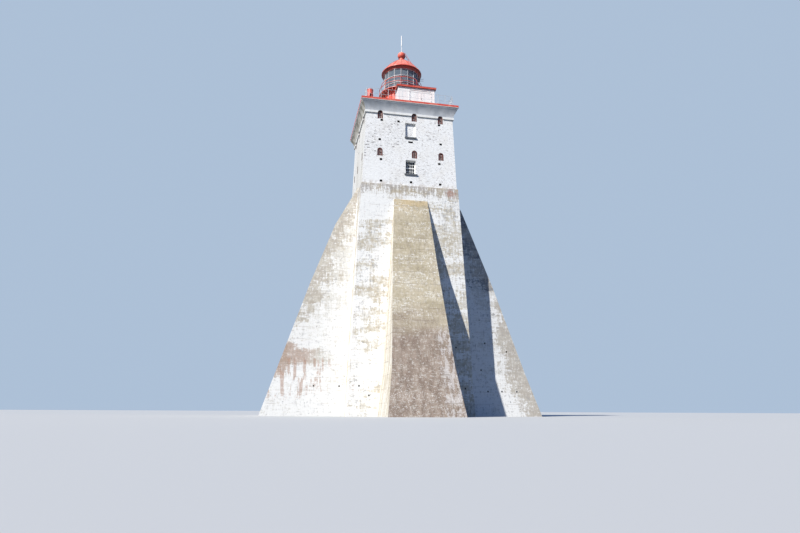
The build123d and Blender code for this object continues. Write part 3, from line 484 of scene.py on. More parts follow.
def jacket_concrete():
    finish = Finish("jacket_concrete", 0.9)
    front = finish.on_front()
    sheltered = (1 - finish.ramp(finish.x, -2.9, -1.6)) * finish.ramp(finish.z, 16.3, 16.9) * front
    tan = finish.mix(finish.patches(0.40, 0.62, 3.0, detail=5, shift=4.0), TAN, PALE_TAN)
    worn = broken(finish, jacket_wear(finish, front, sheltered)) * (1 - sheltered)
    colour = finish.mix(worn * 0.95, PAINT, tan)
    colour = grain(finish, colour, PAINT, GREY_STREAK, 0.75 - sheltered * 0.45)
    dingy = finish.ramp(finish.x, 1.6, 3.4) * finish.ramp(finish.z, 16.0, 17.0) * front
    colour = finish.mix(broken(finish, dingy * 0.35, 1.2, 2.0) * 0.5, colour, DINGY)
    stripe = finish.on_left() * (1 - finish.ramp(abs(finish.y + STRIPE_LINE), 0.15, 0.65))
    colour = finish.mix(stripe * 0.7, colour, STRIPE_TAN)
    corner = 1 - finish.ramp(abs(abs(finish.x) - abs(finish.y) - 0.10), 0.03, 0.07)
    colour = finish.mix(corner * 0.5, colour, GREY_STREAK)
    drip_colour = finish.mix(finish.patches(0.40, 0.60, 1.2, detail=4), DRIP_TAN, DRIP_GREY)
    colour = finish.mix(ledge_drip(finish) * 0.8, colour, drip_colour)
    red = broken(finish, finish.spot(*STAIN_PLACE, 0.05, 0.85) * 0.75, 1.0, 9.0)
    colour = finish.mix(red * 0.75, colour, BRICK_STAIN)
    line = lift_line(finish)
    colour = finish.mix(line * 0.2, colour, UMBER)
    finish.set(base_color=with_shaded_holes(finish, colour, JACKET_HOLES))
    cast_relief(finish, line)
    return finish.material


# %% [markdown]
# The front buttress was never painted. It is khaki above and brown below, with chalky flecks that
# gather along the lifts and pale streaks towards its right foot. Its narrow cheeks are a dirty cream.
# The rear buttress has the same finish, which is why only the cheeks are told by their direction.

# %% Front and rear buttresses
KHAKI = (0.45, 0.385, 0.265)
PALE_KHAKI = (0.575, 0.50, 0.365)
BROWN = (0.25, 0.185, 0.145)
PALE_BROWN = (0.37, 0.29, 0.235)
RUN_BROWN = (0.30, 0.25, 0.20)
GOLDEN = (0.60, 0.46, 0.26)
GRIT = (0.78, 0.74, 0.67)
DARK_GRIT = (0.20, 0.16, 0.115)
CHALK = (0.84, 0.82, 0.77)
FOOT_CHALK = (0.84, 0.81, 0.78)
PALE_RUN = (0.74, 0.71, 0.70)
CREAM = (0.80, 0.765, 0.69)
DIRTY_CREAM = (0.60, 0.53, 0.42)
LIFT_BROWN = (0.24, 0.19, 0.14)


def front_buttress_chalk(finish, colour, low):
    """The colour with chalky flecks along the lifts, specks at the foot and streaks at the right."""
    chalk = (finish.ramp(bands(finish, 8.0), 0.47, 0.57) * 0.40 - 0.10) * (1 - low)
    colour = finish.mix(broken(finish, chalk, 1.2, 4.0, 1.5) * 0.85, colour, CHALK)
    speck = (1 - finish.ramp(finish.z, 1.2, 5.0)) * 0.16 + low * 0.10 - 0.10
    colour = finish.mix(broken(finish, speck, 1.3, 5.0, 2.2) * 0.85, colour, FOOT_CHALK)
    right_foot = finish.ramp(finish.x + finish.z * 0.03, 0.9, 1.8) * low
    pale = right_foot * finish.streaks(4.5, 0.36, 0.60, 13.0, 0.12) * 0.75
    return finish.mix(broken(finish, pale, 0.9, 7.0, 1.8) * 0.55, colour, PALE_RUN)


def front_buttress_concrete():
    finish = Finish("front_buttress_concrete", 0.9)
    tone = finish.ramp(bands(finish, 5.0) * 0.6 + finish.cloud(0.9, detail=6) * 0.4, 0.38, 0.62)
    khaki = finish.mix(tone, KHAKI, PALE_KHAKI)
    brown = finish.mix(finish.streaks(2.6, 0.42, 0.60, 6.0), BROWN, PALE_BROWN)
    low = 1 - finish.ramp(finish.z + (bands(finish, 2.0) - 0.5) * 5, 5.2, 9.0)
    colour = finish.mix(low, khaki, brown)
    colour = finish.mix(finish.streaks(5.0, 0.46, 0.62, 2.0, 0.12) * 0.32, colour, RUN_BROWN)
    golden = finish.ramp(finish.z, 16.6, 18.2) * finish.patches(0.40, 0.60, 1.2, (1, 1, 2), 4, 15.0)
    colour = finish.mix(golden * 0.7, colour, GOLDEN)
    colour = grain(finish, colour, GRIT, DARK_GRIT, 0.42)
    colour = front_buttress_chalk(finish, colour, low)
    cheek = finish.ramp(abs(finish.facing(0)), 0.5, 0.7)
    cream = finish.mix(finish.streaks(1.8, 0.42, 0.58, 4.0, 0.15), CREAM, DIRTY_CREAM)
    colour = finish.mix(cheek, colour, grain(finish, cream, PAINT, UMBER, 0.5))
    line = lift_line(finish)
    finish.set(base_color=finish.mix(line * 0.5, colour, LIFT_BROWN))
    cast_relief(finish, line)
    return finish.material


# %% [markdown]
# The side buttresses are painted, and worn brown along their sloping outer edge, where rain runs off.
# That edge leans in two straight runs and always lies on the nearer of two lines, so the distance from
# it is the lesser of two sums. On the left a brown patch sends rusty streaks down the white foot.

# %% Outer edge and brown patch
KINK = (8.27, 11.30)
EDGE_FOOT = (12.0, 0.0)
EDGE_HEAD = (4.90, 20.42)
PATCH_LEVEL = 4.8


def outer_edge(finish):
    """Metres from the sloping outer edge, measured level."""
    distances = []
    for low, high in ((EDGE_FOOT, KINK), (KINK, EDGE_HEAD)):
        slope = (low[0] - high[0]) / (high[1] - low[1])
        distances.append(low[0] + low[1] * slope - finish.z * slope)
    return distances[0].least(distances[1]) - abs(finish.x)


def brown_patch(finish, edge):
    """The brown patch on the left, and the rusty streaks that run down from it."""
    left = 1 - finish.ramp(finish.x, -6.0, -4.5)
    near = 1 - finish.ramp(edge + (finish.cloud(0.8, detail=5) - 0.5) * 4, 2.2, 5.6)
    patch = (1 - finish.ramp(abs(finish.z - PATCH_LEVEL), 0.35, 1.05)) * near
    rise = finish.ramp(finish.z, 2.4, 3.6) * (1 - finish.ramp(finish.z, 5.6, 6.4))
    border = (1 - finish.ramp(edge, 0.5, 1.3)) * rise
    foot = finish.ramp(finish.z, 0.4, 2.4) * (1 - finish.ramp(finish.z, 4.4, 5.0)) * near * left
    return patch.most(border) * left, foot * finish.streaks(3.0, 0.47, 0.53, 11.0, 0.07)


def stain_reach(finish, edge, right, high):
    """How far a place lies beyond the stained border, which is wider on the right and in the middle."""
    ragged = (bands(finish, 3.0) - 0.5) * 7 + (finish.cloud(1.0, (2.0, 2.0, 0.25), 6, 6.0) - 0.5) * 3
    reach = edge + ragged * (1 - right * 0.45)
    reach = reach - right * (1 - high) * 0.9 + (1 - right) * (1 - high) * 0.6 - (1 - right) * high * 0.4
    reach = reach + (1 - right) * (1 - finish.ramp(finish.z, 2.4, 4.4)) * 1.6
    return reach + right * finish.ramp(finish.z, 4.5, 7.5) * (1 - finish.ramp(finish.z, 10.5, 12.5)) * 0.9


# %% Side buttresses
BUTTRESS_HOLES = (
    (-5.64, 2.40), (-7.74, 2.40), (6.73, 3.92), (7.19, 6.30),
    (7.23, 2.10), (8.50, 2.10), (9.17, 5.58), (9.87, 2.10),
)
# Painted shade: this white is darker than the jacket's to offset the stronger light on the leaning faces.
SHADED_PAINT = (0.85, 0.845, 0.835)
WORN_PAINT = (0.64, 0.62, 0.575)
OLIVE = (0.46, 0.405, 0.335)
PALE_OLIVE = (0.55, 0.505, 0.425)
DARK_OLIVE = (0.42, 0.375, 0.325)
PATCH_BROWN = (0.42, 0.29, 0.22)
PATCH_GREY = (0.55, 0.52, 0.45)
RUST = (0.42, 0.25, 0.175)
LIME_GRIT = (0.88, 0.875, 0.865)
# Partly dark stains and partly painted shade, on the upper right where the cast shadow lies.
DARK_STAIN_AND_SHADE = (0.20, 0.20, 0.215)


def side_buttress_concrete():
    finish = Finish("side_buttress_concrete", 0.9)
    edge = outer_edge(finish)
    right = finish.ramp(finish.x, 3.0, 5.0)
    high = finish.ramp(finish.z, 7.0, 11.0)
    border = 1 - finish.ramp(stain_reach(finish, edge, right, high), -0.8, 2.6)
    stained = broken(finish, border * (0.9 + right * 0.15))
    wear = finish.ramp(bands(finish, 6.0), 0.38, 0.62) * (0.35 + high * 0.40 + right * 0.12)
    # The base white here carries painted shade.
    colour = finish.mix(broken(finish, wear, 1.0, 2.0) * 0.8, SHADED_PAINT, WORN_PAINT)
    olive = finish.mix(finish.patches(0.42, 0.60, 1.6, detail=6, shift=2.0), OLIVE, PALE_OLIVE)
    olive = finish.mix(right * 0.45, olive, DARK_OLIVE)
    colour = finish.mix(stained * 0.9, colour, olive)
    patch, run = brown_patch(finish, edge)
    patch_colour = finish.mix(finish.ramp(edge, 1.6, 3.4), PATCH_BROWN, PATCH_GREY)
    colour = finish.mix(broken(finish, patch * 0.75, 0.6, 8.0) * 0.8, colour, patch_colour)
    colour = finish.mix(broken(finish, run * 0.8, 0.65, 3.0) * 0.65, colour, RUST)
    colour = grain(finish, colour, LIME_GRIT, GREY_STREAK, 0.45 + right * 0.16 + high * 0.14, 3.0)
    # The upper right lies in the cast shadow; its dark patches are partly stains and partly painted shade.
    shade = finish.ramp(bands(finish, 11.0), 0.44, 0.58) * right * high * 0.65
    colour = finish.mix(broken(finish, shade, 1.1, 6.0) * 0.8, colour, DARK_STAIN_AND_SHADE)
    inner = finish.ramp(edge, 1.6, 3.0) * finish.ramp(bands(finish, 16.0), 0.42, 0.56) * right * high
    colour = finish.mix(broken(finish, inner * 0.6, 1.1, 12.0, 1.4) * 0.7, colour, PAINT)
    line = lift_line(finish)
    colour = finish.mix(line * 0.25, colour, UMBER)
    finish.set(base_color=with_shaded_holes(finish, colour, BUTTRESS_HOLES))
    cast_relief(finish, line)
    return finish.material


# %% [markdown]
# ## Plaster, slab and slate
# The cornice is smooth grey plaster with a white band at its foot, and olive with growth on its
# weather side. The cove's blue-grey is partly the plaster's own colour and partly painted shade. The
# deck's slab shows a thin white edge under the red metal. Sills are dark slate. All three are smooth,
# so soft noise in the colour and a shallow relief are enough.

# %% Cornice plaster
COVE_FOOT = 26.91
# Partly the plaster's colour and partly painted shade on the downward-facing cove.
COVE_BLUE_AND_SHADE = (0.66, 0.68, 0.72)
COVE_GREY_AND_SHADE = (0.52, 0.55, 0.60)
COVE_STAIN = (0.30, 0.29, 0.27)
GROWTH = (0.30, 0.27, 0.20)
THIN_GROWTH = (0.66, 0.62, 0.54)
BAND_WHITE = (0.88, 0.88, 0.87)
BAND_STAIN = (0.62, 0.58, 0.53)


def cove_plaster():
    finish = Finish("cove_plaster", 0.85)
    stain = finish.streaks(2.4, 0.44, 0.66, 1.0, 0.25)
    cove = finish.mix(finish.patches(0.40, 0.62, 1.1, detail=5), COVE_BLUE_AND_SHADE, COVE_GREY_AND_SHADE)
    cove = finish.mix(stain * 0.14, cove, COVE_STAIN)
    growth = finish.mix(finish.patches(0.42, 0.58, 1.6, detail=5, shift=6.0), GROWTH, THIN_GROWTH)
    cove = finish.mix(finish.on_left(0.7) * 0.85, cove, growth)
    band = finish.mix(stain * 0.3, BAND_WHITE, BAND_STAIN)
    colour = finish.mix(finish.ramp(finish.z, COVE_FOOT - 0.01, COVE_FOOT + 0.01), band, cove)
    finish.set(base_color=finish.mix(finish.patches(0.60, 0.70, 6.0, detail=3) * 0.25, colour, UMBER))
    finish.relief(finish.cloud(6, detail=5), 0.010)
    return finish.material


# %% Slab and slate
DECK_EDGE = 4.44
SLAB_GREY = (0.42, 0.41, 0.39)
SLAB_DARK = (0.30, 0.29, 0.27)
SLAB_WHITE = (0.85, 0.86, 0.87)
SLAB_WORN = (0.55, 0.52, 0.48)
SLATE_DARK = (0.085, 0.095, 0.115)
SLATE_GREY = (0.20, 0.21, 0.22)
LIME_SMEAR = (0.55, 0.54, 0.53)


def deck_slab():
    finish = Finish("deck_slab", 0.85)
    rim = finish.ramp(abs(finish.x).most(abs(finish.y)), DECK_EDGE - 0.02, DECK_EDGE)
    worn = finish.patches(0.45, 0.62, 2.2, detail=5)
    slab = finish.mix(worn, SLAB_GREY, SLAB_DARK)
    finish.set(base_color=finish.mix(rim, slab, finish.mix(worn * 0.3, SLAB_WHITE, SLAB_WORN)))
    finish.relief(finish.cloud(12, detail=4), 0.006)
    return finish.material


def slate():
    finish = Finish("slate", 0.6)
    bed = finish.cloud(3, (1, 1, 9), 5)
    smear = finish.patches(0.58, 0.68, 8.0, detail=4) * 0.35
    colour = finish.mix(finish.ramp(bed, 0.35, 0.65), SLATE_DARK, SLATE_GREY)
    finish.set(base_color=finish.mix(smear, colour, LIME_SMEAR))
    finish.relief(bed, 0.01)
    return finish.material


# %% [markdown]
# ## Paint on metal and wood
# Red gloss paint fades in patches and darkens in runs. Its undersides are darkened as painted shade,
# and upward faces on the dome are lighter, partly from fading and partly as a painted highlight. White
# paint greys a little with rain and shows rust at small chips. One finish serves all pieces of a
# paint, so what differs, as on the dome or round the lantern's glass, is told by its height.

# %% Red paint
DOME_FOOT = 33.3
RED_LEAD = (0.74, 0.095, 0.06)
FADED_RED = (0.84, 0.20, 0.135)
# Partly sun fading and partly a painted highlight on the dome's upper faces.
BLEACHED_AND_LIT_RED = (0.93, 0.42, 0.31)
DARK_RUN = (0.40, 0.05, 0.04)
RED_CHIP = (0.22, 0.07, 0.04)
# Painted shade for the undersides of red metal.
UNDERSIDE_SHADE_RED = (0.20, 0.035, 0.03)


def red_paint():
    finish = Finish("red_paint")
    faded = finish.patches(0.42, 0.66, 0.9, (1, 1, 0.7), 5)
    run = finish.streaks(5, 0.52, 0.70, 4.0, 0.2)
    chip = finish.patches(0.66, 0.72, 16, detail=3)
    # Painted shade: surfaces that face down are darkened.
    underside_shade = finish.ramp(finish.facing(2) * -1, 0.15, 0.7)
    # Upward faces of the dome are lighter: partly fading, partly painted highlight.
    bleached_and_lit = finish.ramp(finish.facing(2), 0.25, 0.6) * finish.ramp(finish.z, DOME_FOOT, DOME_FOOT + 0.2)
    colour = finish.mix(faded, RED_LEAD, FADED_RED)
    colour = finish.mix(bleached_and_lit * (0.35 + faded * 0.6), colour, BLEACHED_AND_LIT_RED)
    colour = finish.mix(run * 0.28, colour, DARK_RUN)
    colour = finish.mix(chip * 0.5, colour, RED_CHIP)
    finish.set(base_color=finish.mix(underside_shade * 0.8, colour, UNDERSIDE_SHADE_RED), roughness=0.38 + faded * 0.2)
    finish.relief(finish.cloud(3, detail=4) - chip * 0.3, 0.004)
    return finish.material


# %% White and grey paint
GLAZING_FOOT = 30.5
GLAZING_HEAD = 33.2
COOL_WHITE = (0.97, 0.945, 0.93)
WARM_WHITE = (0.96, 0.87, 0.85)
RAIN_GREY = (0.60, 0.56, 0.52)
GLAZING_GREY = (0.48, 0.50, 0.53)
RUSTY_CHIP = (0.45, 0.34, 0.27)
TIMBER_WHITE = (0.88, 0.88, 0.87)
TIMBER_GREY = (0.50, 0.48, 0.45)
IRON_GREY = (0.29, 0.30, 0.31)
WORN_GREY = (0.18, 0.17, 0.16)


def white_paint():
    finish = Finish("white_paint")
    warm = finish.patches(0.42, 0.62, 1.1, (1, 1, 0.5), 4)
    run = finish.streaks(6, 0.55, 0.72, 2.0, 0.3)
    chip = finish.patches(0.73, 0.77, 14, detail=3, shift=3.0)
    colour = finish.mix(warm * 0.7, COOL_WHITE, WARM_WHITE)
    colour = finish.mix(run * 0.10, colour, RAIN_GREY)
    over_foot = finish.ramp(finish.z, GLAZING_FOOT, GLAZING_FOOT + 0.2)
    glazed = over_foot * (1 - finish.ramp(finish.z, GLAZING_HEAD, GLAZING_HEAD + 0.2))
    colour = finish.mix(glazed * 0.6, colour, GLAZING_GREY)
    finish.set(base_color=finish.mix(chip * 0.4, colour, RUSTY_CHIP), roughness=0.42 + run * 0.2)
    finish.relief(finish.cloud(4, detail=4), 0.0012)
    return finish.material


def white_timber():
    finish = Finish("white_timber")
    fibre = finish.cloud(6, (9, 9, 0.8), 4)
    crack = finish.ramp(fibre, 0.60, 0.72)
    finish.set(base_color=finish.mix(crack * 0.45, TIMBER_WHITE, TIMBER_GREY), roughness=0.55 + crack * 0.2)
    finish.relief(fibre, 0.003)
    return finish.material


def grey_paint():
    finish = Finish("grey_paint")
    worn = finish.patches(0.45, 0.65, 5, detail=5)
    finish.set(base_color=finish.mix(worn * 0.5, IRON_GREY, WORN_GREY), roughness=0.5 + worn * 0.2)
    finish.relief(worn, 0.002)
    return finish.material


# %% [markdown]
# ## Iron, steel, brick and glass
# The wall anchors are forged iron, brown with rust. The gallery railing is dull zinc. The slots are
# lined with red brick. Window glass is dark from outside, and the lantern's glass shows the lens. Clear
# glass would show empty rooms, so both are tinted, and only a part of the light goes through.

# %% Iron and steel
BLACK_IRON = (0.045, 0.035, 0.035)
RUSTY_IRON = (0.16, 0.06, 0.04)
ZINC = (0.66, 0.68, 0.71)
DULL_ZINC = (0.50, 0.51, 0.53)


def wrought_iron():
    finish = Finish("wrought_iron", 0.75)
    finish.set(base_color=finish.mix(finish.patches(0.42, 0.62, 14, detail=5), BLACK_IRON, RUSTY_IRON))
    finish.relief(finish.cloud(30, detail=3), 0.003)
    return finish.material


def galvanised_steel():
    finish = Finish("galvanised_steel")
    spangle = finish.add("TexVoronoi", {}, {"Vector": finish.place, "Scale": 45.0}, "Distance")
    colour = finish.mix(finish.patches(0.42, 0.66, 3, detail=4), ZINC, DULL_ZINC)
    finish.set(base_color=colour, roughness=0.42 + spangle * 0.2, metallic=0.35)
    finish.relief(spangle, 0.0006)
    return finish.material


# %% Brick
DEEP_RED = (0.21, 0.042, 0.03)
BURNT_RED = (0.085, 0.022, 0.02)
BRICK_LIME = (0.62, 0.55, 0.52)
LIMED_PINK = (0.66, 0.56, 0.53)
BARE_BRICK = (0.22, 0.065, 0.05)
# Painted shade for the slots on the left and right sides of the tower.
SIDE_SLOT_SHADE = (0.05, 0.015, 0.012)
SIDE_BACK_SHADE = (0.05, 0.018, 0.015)
COURSES_TO_METRE = 6.5


def on_shaded_sides(finish):
    """1 on the left and right sides of the tower, whose slots get painted shade that makes them darker than
    the front's.
    """
    return finish.ramp(abs(finish.x) - abs(finish.y), 0.0, 0.5)


def red_brick():
    finish = Finish("red_brick", 0.9)
    colour = finish.mix(finish.patches(0.38, 0.62, 5, (1, 1, 2.6), 3), DEEP_RED, BURNT_RED)
    # Painted shade darkens the bricks of the side slots.
    colour = finish.mix(on_shaded_sides(finish) * 0.6, colour, SIDE_SLOT_SHADE)
    smear = finish.patches(0.64, 0.74, 11, detail=4) * 0.3
    finish.set(base_color=finish.mix(smear, colour, BRICK_LIME))
    finish.relief(finish.cloud(35, detail=4), 0.004)
    return finish.material


def limed_brick():
    finish = Finish("limed_brick", 0.9)
    course = abs(finish.z * COURSES_TO_METRE + finish.cloud(2.0) * 0.8).part()
    brick = finish.ramp(course, 0.40, 0.60) * finish.patches(0.38, 0.52, 9, detail=4)
    colour = finish.mix(brick, LIMED_PINK, BARE_BRICK)
    # Painted shade darkens the backs of the side slots.
    finish.set(base_color=finish.mix(on_shaded_sides(finish) * 0.85, colour, SIDE_BACK_SHADE))
    finish.relief(finish.cloud(20, detail=4), 0.006)
    return finish.material


# %% Glass
LANTERN_FOOT = 29.0
DARK_PANE = (0.012, 0.017, 0.035)
SMEARED_PANE = (0.03, 0.045, 0.07)
LANTERN_PANE = (0.17, 0.215, 0.27)
LANTERN_SMEAR = (0.27, 0.31, 0.35)
LENS_DARK = (0.02, 0.06, 0.12)
LENS_PALE = (0.05, 0.13, 0.22)


def window_glass():
    finish = Finish("window_glass")
    smear = finish.patches(0.40, 0.70, 1.5, (1, 1, 0.4), 4)
    dark = finish.mix(smear, DARK_PANE, SMEARED_PANE)
    pale = finish.mix(smear, LANTERN_PANE, LANTERN_SMEAR)
    colour = finish.mix(finish.ramp(finish.z, LANTERN_FOOT, LANTERN_FOOT + 1), dark, pale)
    finish.set(base_color=colour, roughness=0.06 + smear * 0.12, alpha=0.62, coat_weight=0.3)
    return finish.material


def lens_glass():
    finish = Finish("lens_glass")
    band = finish.patches(0.40, 0.60, 2.0, (1, 1, 6), 2)
    colour = finish.mix(band, LENS_DARK, LENS_PALE)
    finish.set(base_color=colour, roughness=0.08 + band * 0.1, coat_weight=0.6)
    return finish.material


# %% [markdown]
# ## Dress the solids
# Each solid keeps its shape and gets the finish of its material slot. The record names a slot for each
# node, and each finish is made by a function of that name, so no solid can be forgotten.

# %% Finishes on the solids
MAKERS = (
    limewash, jacket_concrete, front_buttress_concrete, side_buttress_concrete, cove_plaster, deck_slab,
    slate, red_paint, white_paint, white_timber, grey_paint, wrought_iron, galvanised_steel, window_glass,
    lens_glass,
)
FINISHES = {maker.__name__: maker() for maker in MAKERS}

for part in frame["record"]["subparts"]:
    solid = frame["nodes"][part["node"]]
    solid.data.materials.clear()
    solid.data.materials.append(FINISHES[part["material_slot"]])
print("finishes", len(FINISHES))

# %% [markdown]
# ## Making small pieces
# The rest is what a builder fixes on last: bars, bricks, bolts, mesh and hinges. Each kind is modelled
# once from a primitive, shaped in edit mode, and copied to its places, each copy with its own mesh. All
# copies of a kind are then joined. Nothing may be selected when a primitive is added, so every helper
# clears the selection first.


# %% Helpers for pieces
def clear():
    """Nothing is selected."""
    bpy.ops.object.select_all(action="DESELECT")


def settle(piece):
    """Put the piece's place, turn and size into its mesh."""
    clear()
    piece.select_set(True)
    bpy.context.view_layer.objects.active = piece
    bpy.ops.object.transform_apply(location=True, rotation=True, scale=True)
    return piece


def copies(piece, turns):
    """Copies with their own meshes, each moved by a matrix."""
    made = []
    for turn in turns:
        twin = piece.copy()
        twin.data = piece.data.copy()
        twin.data.transform(turn)
        bpy.context.scene.collection.objects.link(twin)
        made.append(twin)
    return made


def join(name, pieces):
    """Several pieces as one."""
    clear()
    for piece in pieces:
        piece.select_set(True)
    bpy.context.view_layer.objects.active = pieces[0]
    bpy.ops.object.join()
    pieces[0].name = name
    return pieces[0]


def dress(piece, slot, finish=None):
    """Give a finished piece the finish of its slot or another finish, and the body that it rides on."""
    piece.data.materials.clear()
    piece.data.materials.append(finish or FINISHES[slot])
    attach(piece, "root")
    print(piece.name, "faces", len(piece.data.polygons))


def remove(piece):
    """Take away a pattern piece that has been copied."""
    bpy.data.meshes.remove(piece.data)


def quarter(turns):
    """A turn about the tower's axis by quarters."""
    return Matrix.Rotation(turns * math.pi / 2, 4, "Z")


# %% [markdown]
# ## Window bars
# Each sash has two rows of four panes between thin white bars. Single bars would have to meet at every
# crossing. A grid with one face to a pane is quicker: every face is inset by half a bar, the panes are
# deleted, and Solidify gives the remaining net its thickness.


# %% Upright grids
def upright_grid(middle, size, faces):
    """A sheet that faces the front, with its size and its number of faces across and up."""
    clear()
    bpy.ops.mesh.primitive_grid_add(
        x_subdivisions=faces[0], y_subdivisions=faces[1], size=1,
        location=middle, rotation=(math.pi / 2, 0, 0),
    )
    sheet = bpy.context.object
    sheet.scale = (*size, 1)
    return settle(sheet)


def thicken(sheet, thickness, offset):
    """Give a sheet its thickness, on both sides of it at offset 0 and behind it at -1."""
    thick = sheet.modifiers.new("thick", "SOLIDIFY")
    thick.thickness = thickness
    thick.offset = offset
    bpy.ops.object.modifier_apply(modifier=thick.name)
    return sheet


# %% Window bars
BAR = 0.030
BAR_DEPTH = 0.035
FRAME_WIDTH = 0.070
PANES = (4, 2)
SASHES = 2
WINDOW_SIZE = (0.93, 1.35)
WINDOW_X = 0.05

frame_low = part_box("window_frames")[0]
sash_width = WINDOW_SIZE[0] - 2 * FRAME_WIDTH
sash_height = (WINDOW_SIZE[1] - (SASHES + 1) * FRAME_WIDTH) / SASHES


def sash_bars(foot):
    """The bars of one sash, with its foot at that level."""
    middle = (WINDOW_X, frame_low[1] + FRAME_WIDTH / 2, foot + sash_height / 2)
    net = upright_grid(middle, (sash_width, sash_height), PANES)
    bpy.ops.object.mode_set(mode="EDIT")
    bpy.ops.mesh.select_mode(type="FACE")
    bpy.ops.mesh.select_all(action="SELECT")
    bpy.ops.mesh.inset(thickness=BAR / 2, use_individual=True)
    bpy.ops.mesh.delete(type="FACE")
    bpy.ops.object.mode_set(mode="OBJECT")
    return thicken(net, BAR_DEPTH, 0)


bars = []
for row in range(SASHES):
    sash = sash_bars(frame_low[2] + FRAME_WIDTH + row * (sash_height + FRAME_WIDTH))
    bars += [sash] + copies(sash, [quarter(2)])
dress(join("window_bars", bars), "white_timber")

# %% [markdown]
# ## Brick linings of the anchor slots
# Each slot has red brick jambs under a small brick arch, and a shallow brick back smeared with lime. A
# pattern on a flat lining would have no shadow in its joints, so the bricks are modelled. One brick is
# a chamfered block. The jambs are a stack of copies, and the arch is a wedge of brick copied round half
# a circle. One whole lining is then copied to all 24 slots.


# %% Chamfered blocks
def chamfered(piece, chamfer):
    """The active piece with all its edges taken off."""
    bpy.ops.object.mode_set(mode="EDIT")
    bpy.ops.mesh.select_all(action="SELECT")
    bpy.ops.mesh.bevel(offset=chamfer, segments=1, affect="EDGES")
    bpy.ops.object.mode_set(mode="OBJECT")
    return piece


def block(low, high, chamfer):
    """A block between two corners, with its edges taken off."""
    clear()
    middle = [(a + b) / 2 for a, b in zip(low, high)]
    size = [b - a for a, b in zip(low, high)]
    bpy.ops.mesh.primitive_cube_add(size=1, location=middle, scale=size)
    return chamfered(settle(bpy.context.object), chamfer)


# %% Jambs and back of a slot
SLOT_WIDTH = 0.48
SLOT_HEIGHT = 0.78
SLOT_DEPTH = 0.11
JAMB = 0.095
JAMB_SETBACK = 0.015
JAMB_DEPTH = 0.085
BACK_WIDTH = 0.14
BACK_DEPTH = 0.02
BACK_GAP = 0.002
COURSES = 7
MORTAR = 0.010
CHAMFER = 0.006

spring = SLOT_HEIGHT - SLOT_WIDTH / 2
brick_rise = spring / COURSES
brick = block((-JAMB, JAMB_SETBACK, 0), (0, JAMB_SETBACK + JAMB_DEPTH, brick_rise - MORTAR), CHAMFER)
jamb_places = [
    Matrix.Translation((side, row * brick_rise * WALL_LEAN, row * brick_rise))
    for row in range(COURSES) for side in (-SLOT_WIDTH / 2 + JAMB, SLOT_WIDTH / 2)
]
jambs = copies(brick, jamb_places)

back_brick = block((0, 0, 0), (BACK_WIDTH, BACK_DEPTH, brick_rise - MORTAR), CHAMFER / 2)
back_start = -SLOT_WIDTH / 2 + JAMB + MORTAR
back_places = [
    Matrix.Translation((across, SLOT_DEPTH - BACK_DEPTH - BACK_GAP, row * brick_rise))
    for row in range(COURSES + 1) for across in (back_start, back_start + BACK_WIDTH)
]
backing = join("backing", copies(back_brick, back_places))
print("jamb bricks", len(jambs), "back bricks", len(back_places))

# %% Arch of a slot
VOUSSOIRS = 9
ARCH_GAP = 0.002
ARCH_SETBACK = 0.006

arch_radius = SLOT_WIDTH / 2
wide = math.pi * arch_radius / VOUSSOIRS - MORTAR
voussoir = block(
    (arch_radius - JAMB, JAMB_SETBACK, -wide / 2),
    (arch_radius - ARCH_GAP, JAMB_SETBACK + JAMB_DEPTH, wide / 2), CHAMFER,
)
# A voussoir is a brick whose inner end is made narrower in edit mode.
bpy.ops.object.mode_set(mode="EDIT")
bpy.ops.mesh.select_all(action="DESELECT")
bpy.ops.object.mode_set(mode="OBJECT")
for corner in voussoir.data.vertices:
    corner.select = corner.co.x < arch_radius - JAMB / 2
bpy.ops.object.mode_set(mode="EDIT")
bpy.ops.transform.resize(value=(1, 1, (arch_radius - JAMB) / arch_radius))
bpy.ops.object.mode_set(mode="OBJECT")
arch_foot = Matrix.Translation((0, spring * WALL_LEAN + ARCH_SETBACK, spring))
arch_turns = [math.pi * (index + 0.5) / VOUSSOIRS for index in range(VOUSSOIRS)]
arch = copies(voussoir, [arch_foot @ Matrix.Rotation(-turn, 4, "Y") for turn in arch_turns])
lining = join("lining", jambs + arch)
print("lining faces", len(lining.data.polygons))

# %% Linings in all slots
SLOT_PLACES = (-2.75, 0.40, 2.87)
SLOT_FEET = (22.50, 26.19)


def slot_places():
    """Where a lining goes, one matrix to a slot, on the front and turned to the other sides."""
    for turns in range(4):
        mirrored = 1 if turns % 2 == 0 else -1
        for foot in SLOT_FEET:
            for x in SLOT_PLACES:
                yield quarter(turns) @ Matrix.Translation((mirrored * x, -wall_face(foot), foot))


places = list(slot_places())
dress(join("slot_linings", copies(lining, places)), "limewash", red_brick())
dress(join("slot_backs", copies(backing, places)), "limewash", limed_brick())
for pattern in (brick, back_brick, voussoir, lining, backing):
    remove(pattern)

# %% [markdown]
# ## Filling of the blind niches
# The niche over each window was walled up, and its filling is set back from the wall's face. A plain
# block would look cast. Instead a sheet of small faces is moved in and out by a soft noise, as if
# plastered by hand, and Solidify carries it back to the end of the recess.

# %% Niche filling
NICHE_SIZE = (0.97, 1.43)
NICHE_FOOT = 24.55
FILLING_SETBACK = 0.20
FILLING_DEPTH = 0.21
FILLING_GAP = 0.004
FILLING_FACES = (14, 20)
FILLING_LEAN = WALL_LEAN / 2
LUMPS_TO_METRE = 3.0
UNEVEN = 0.012

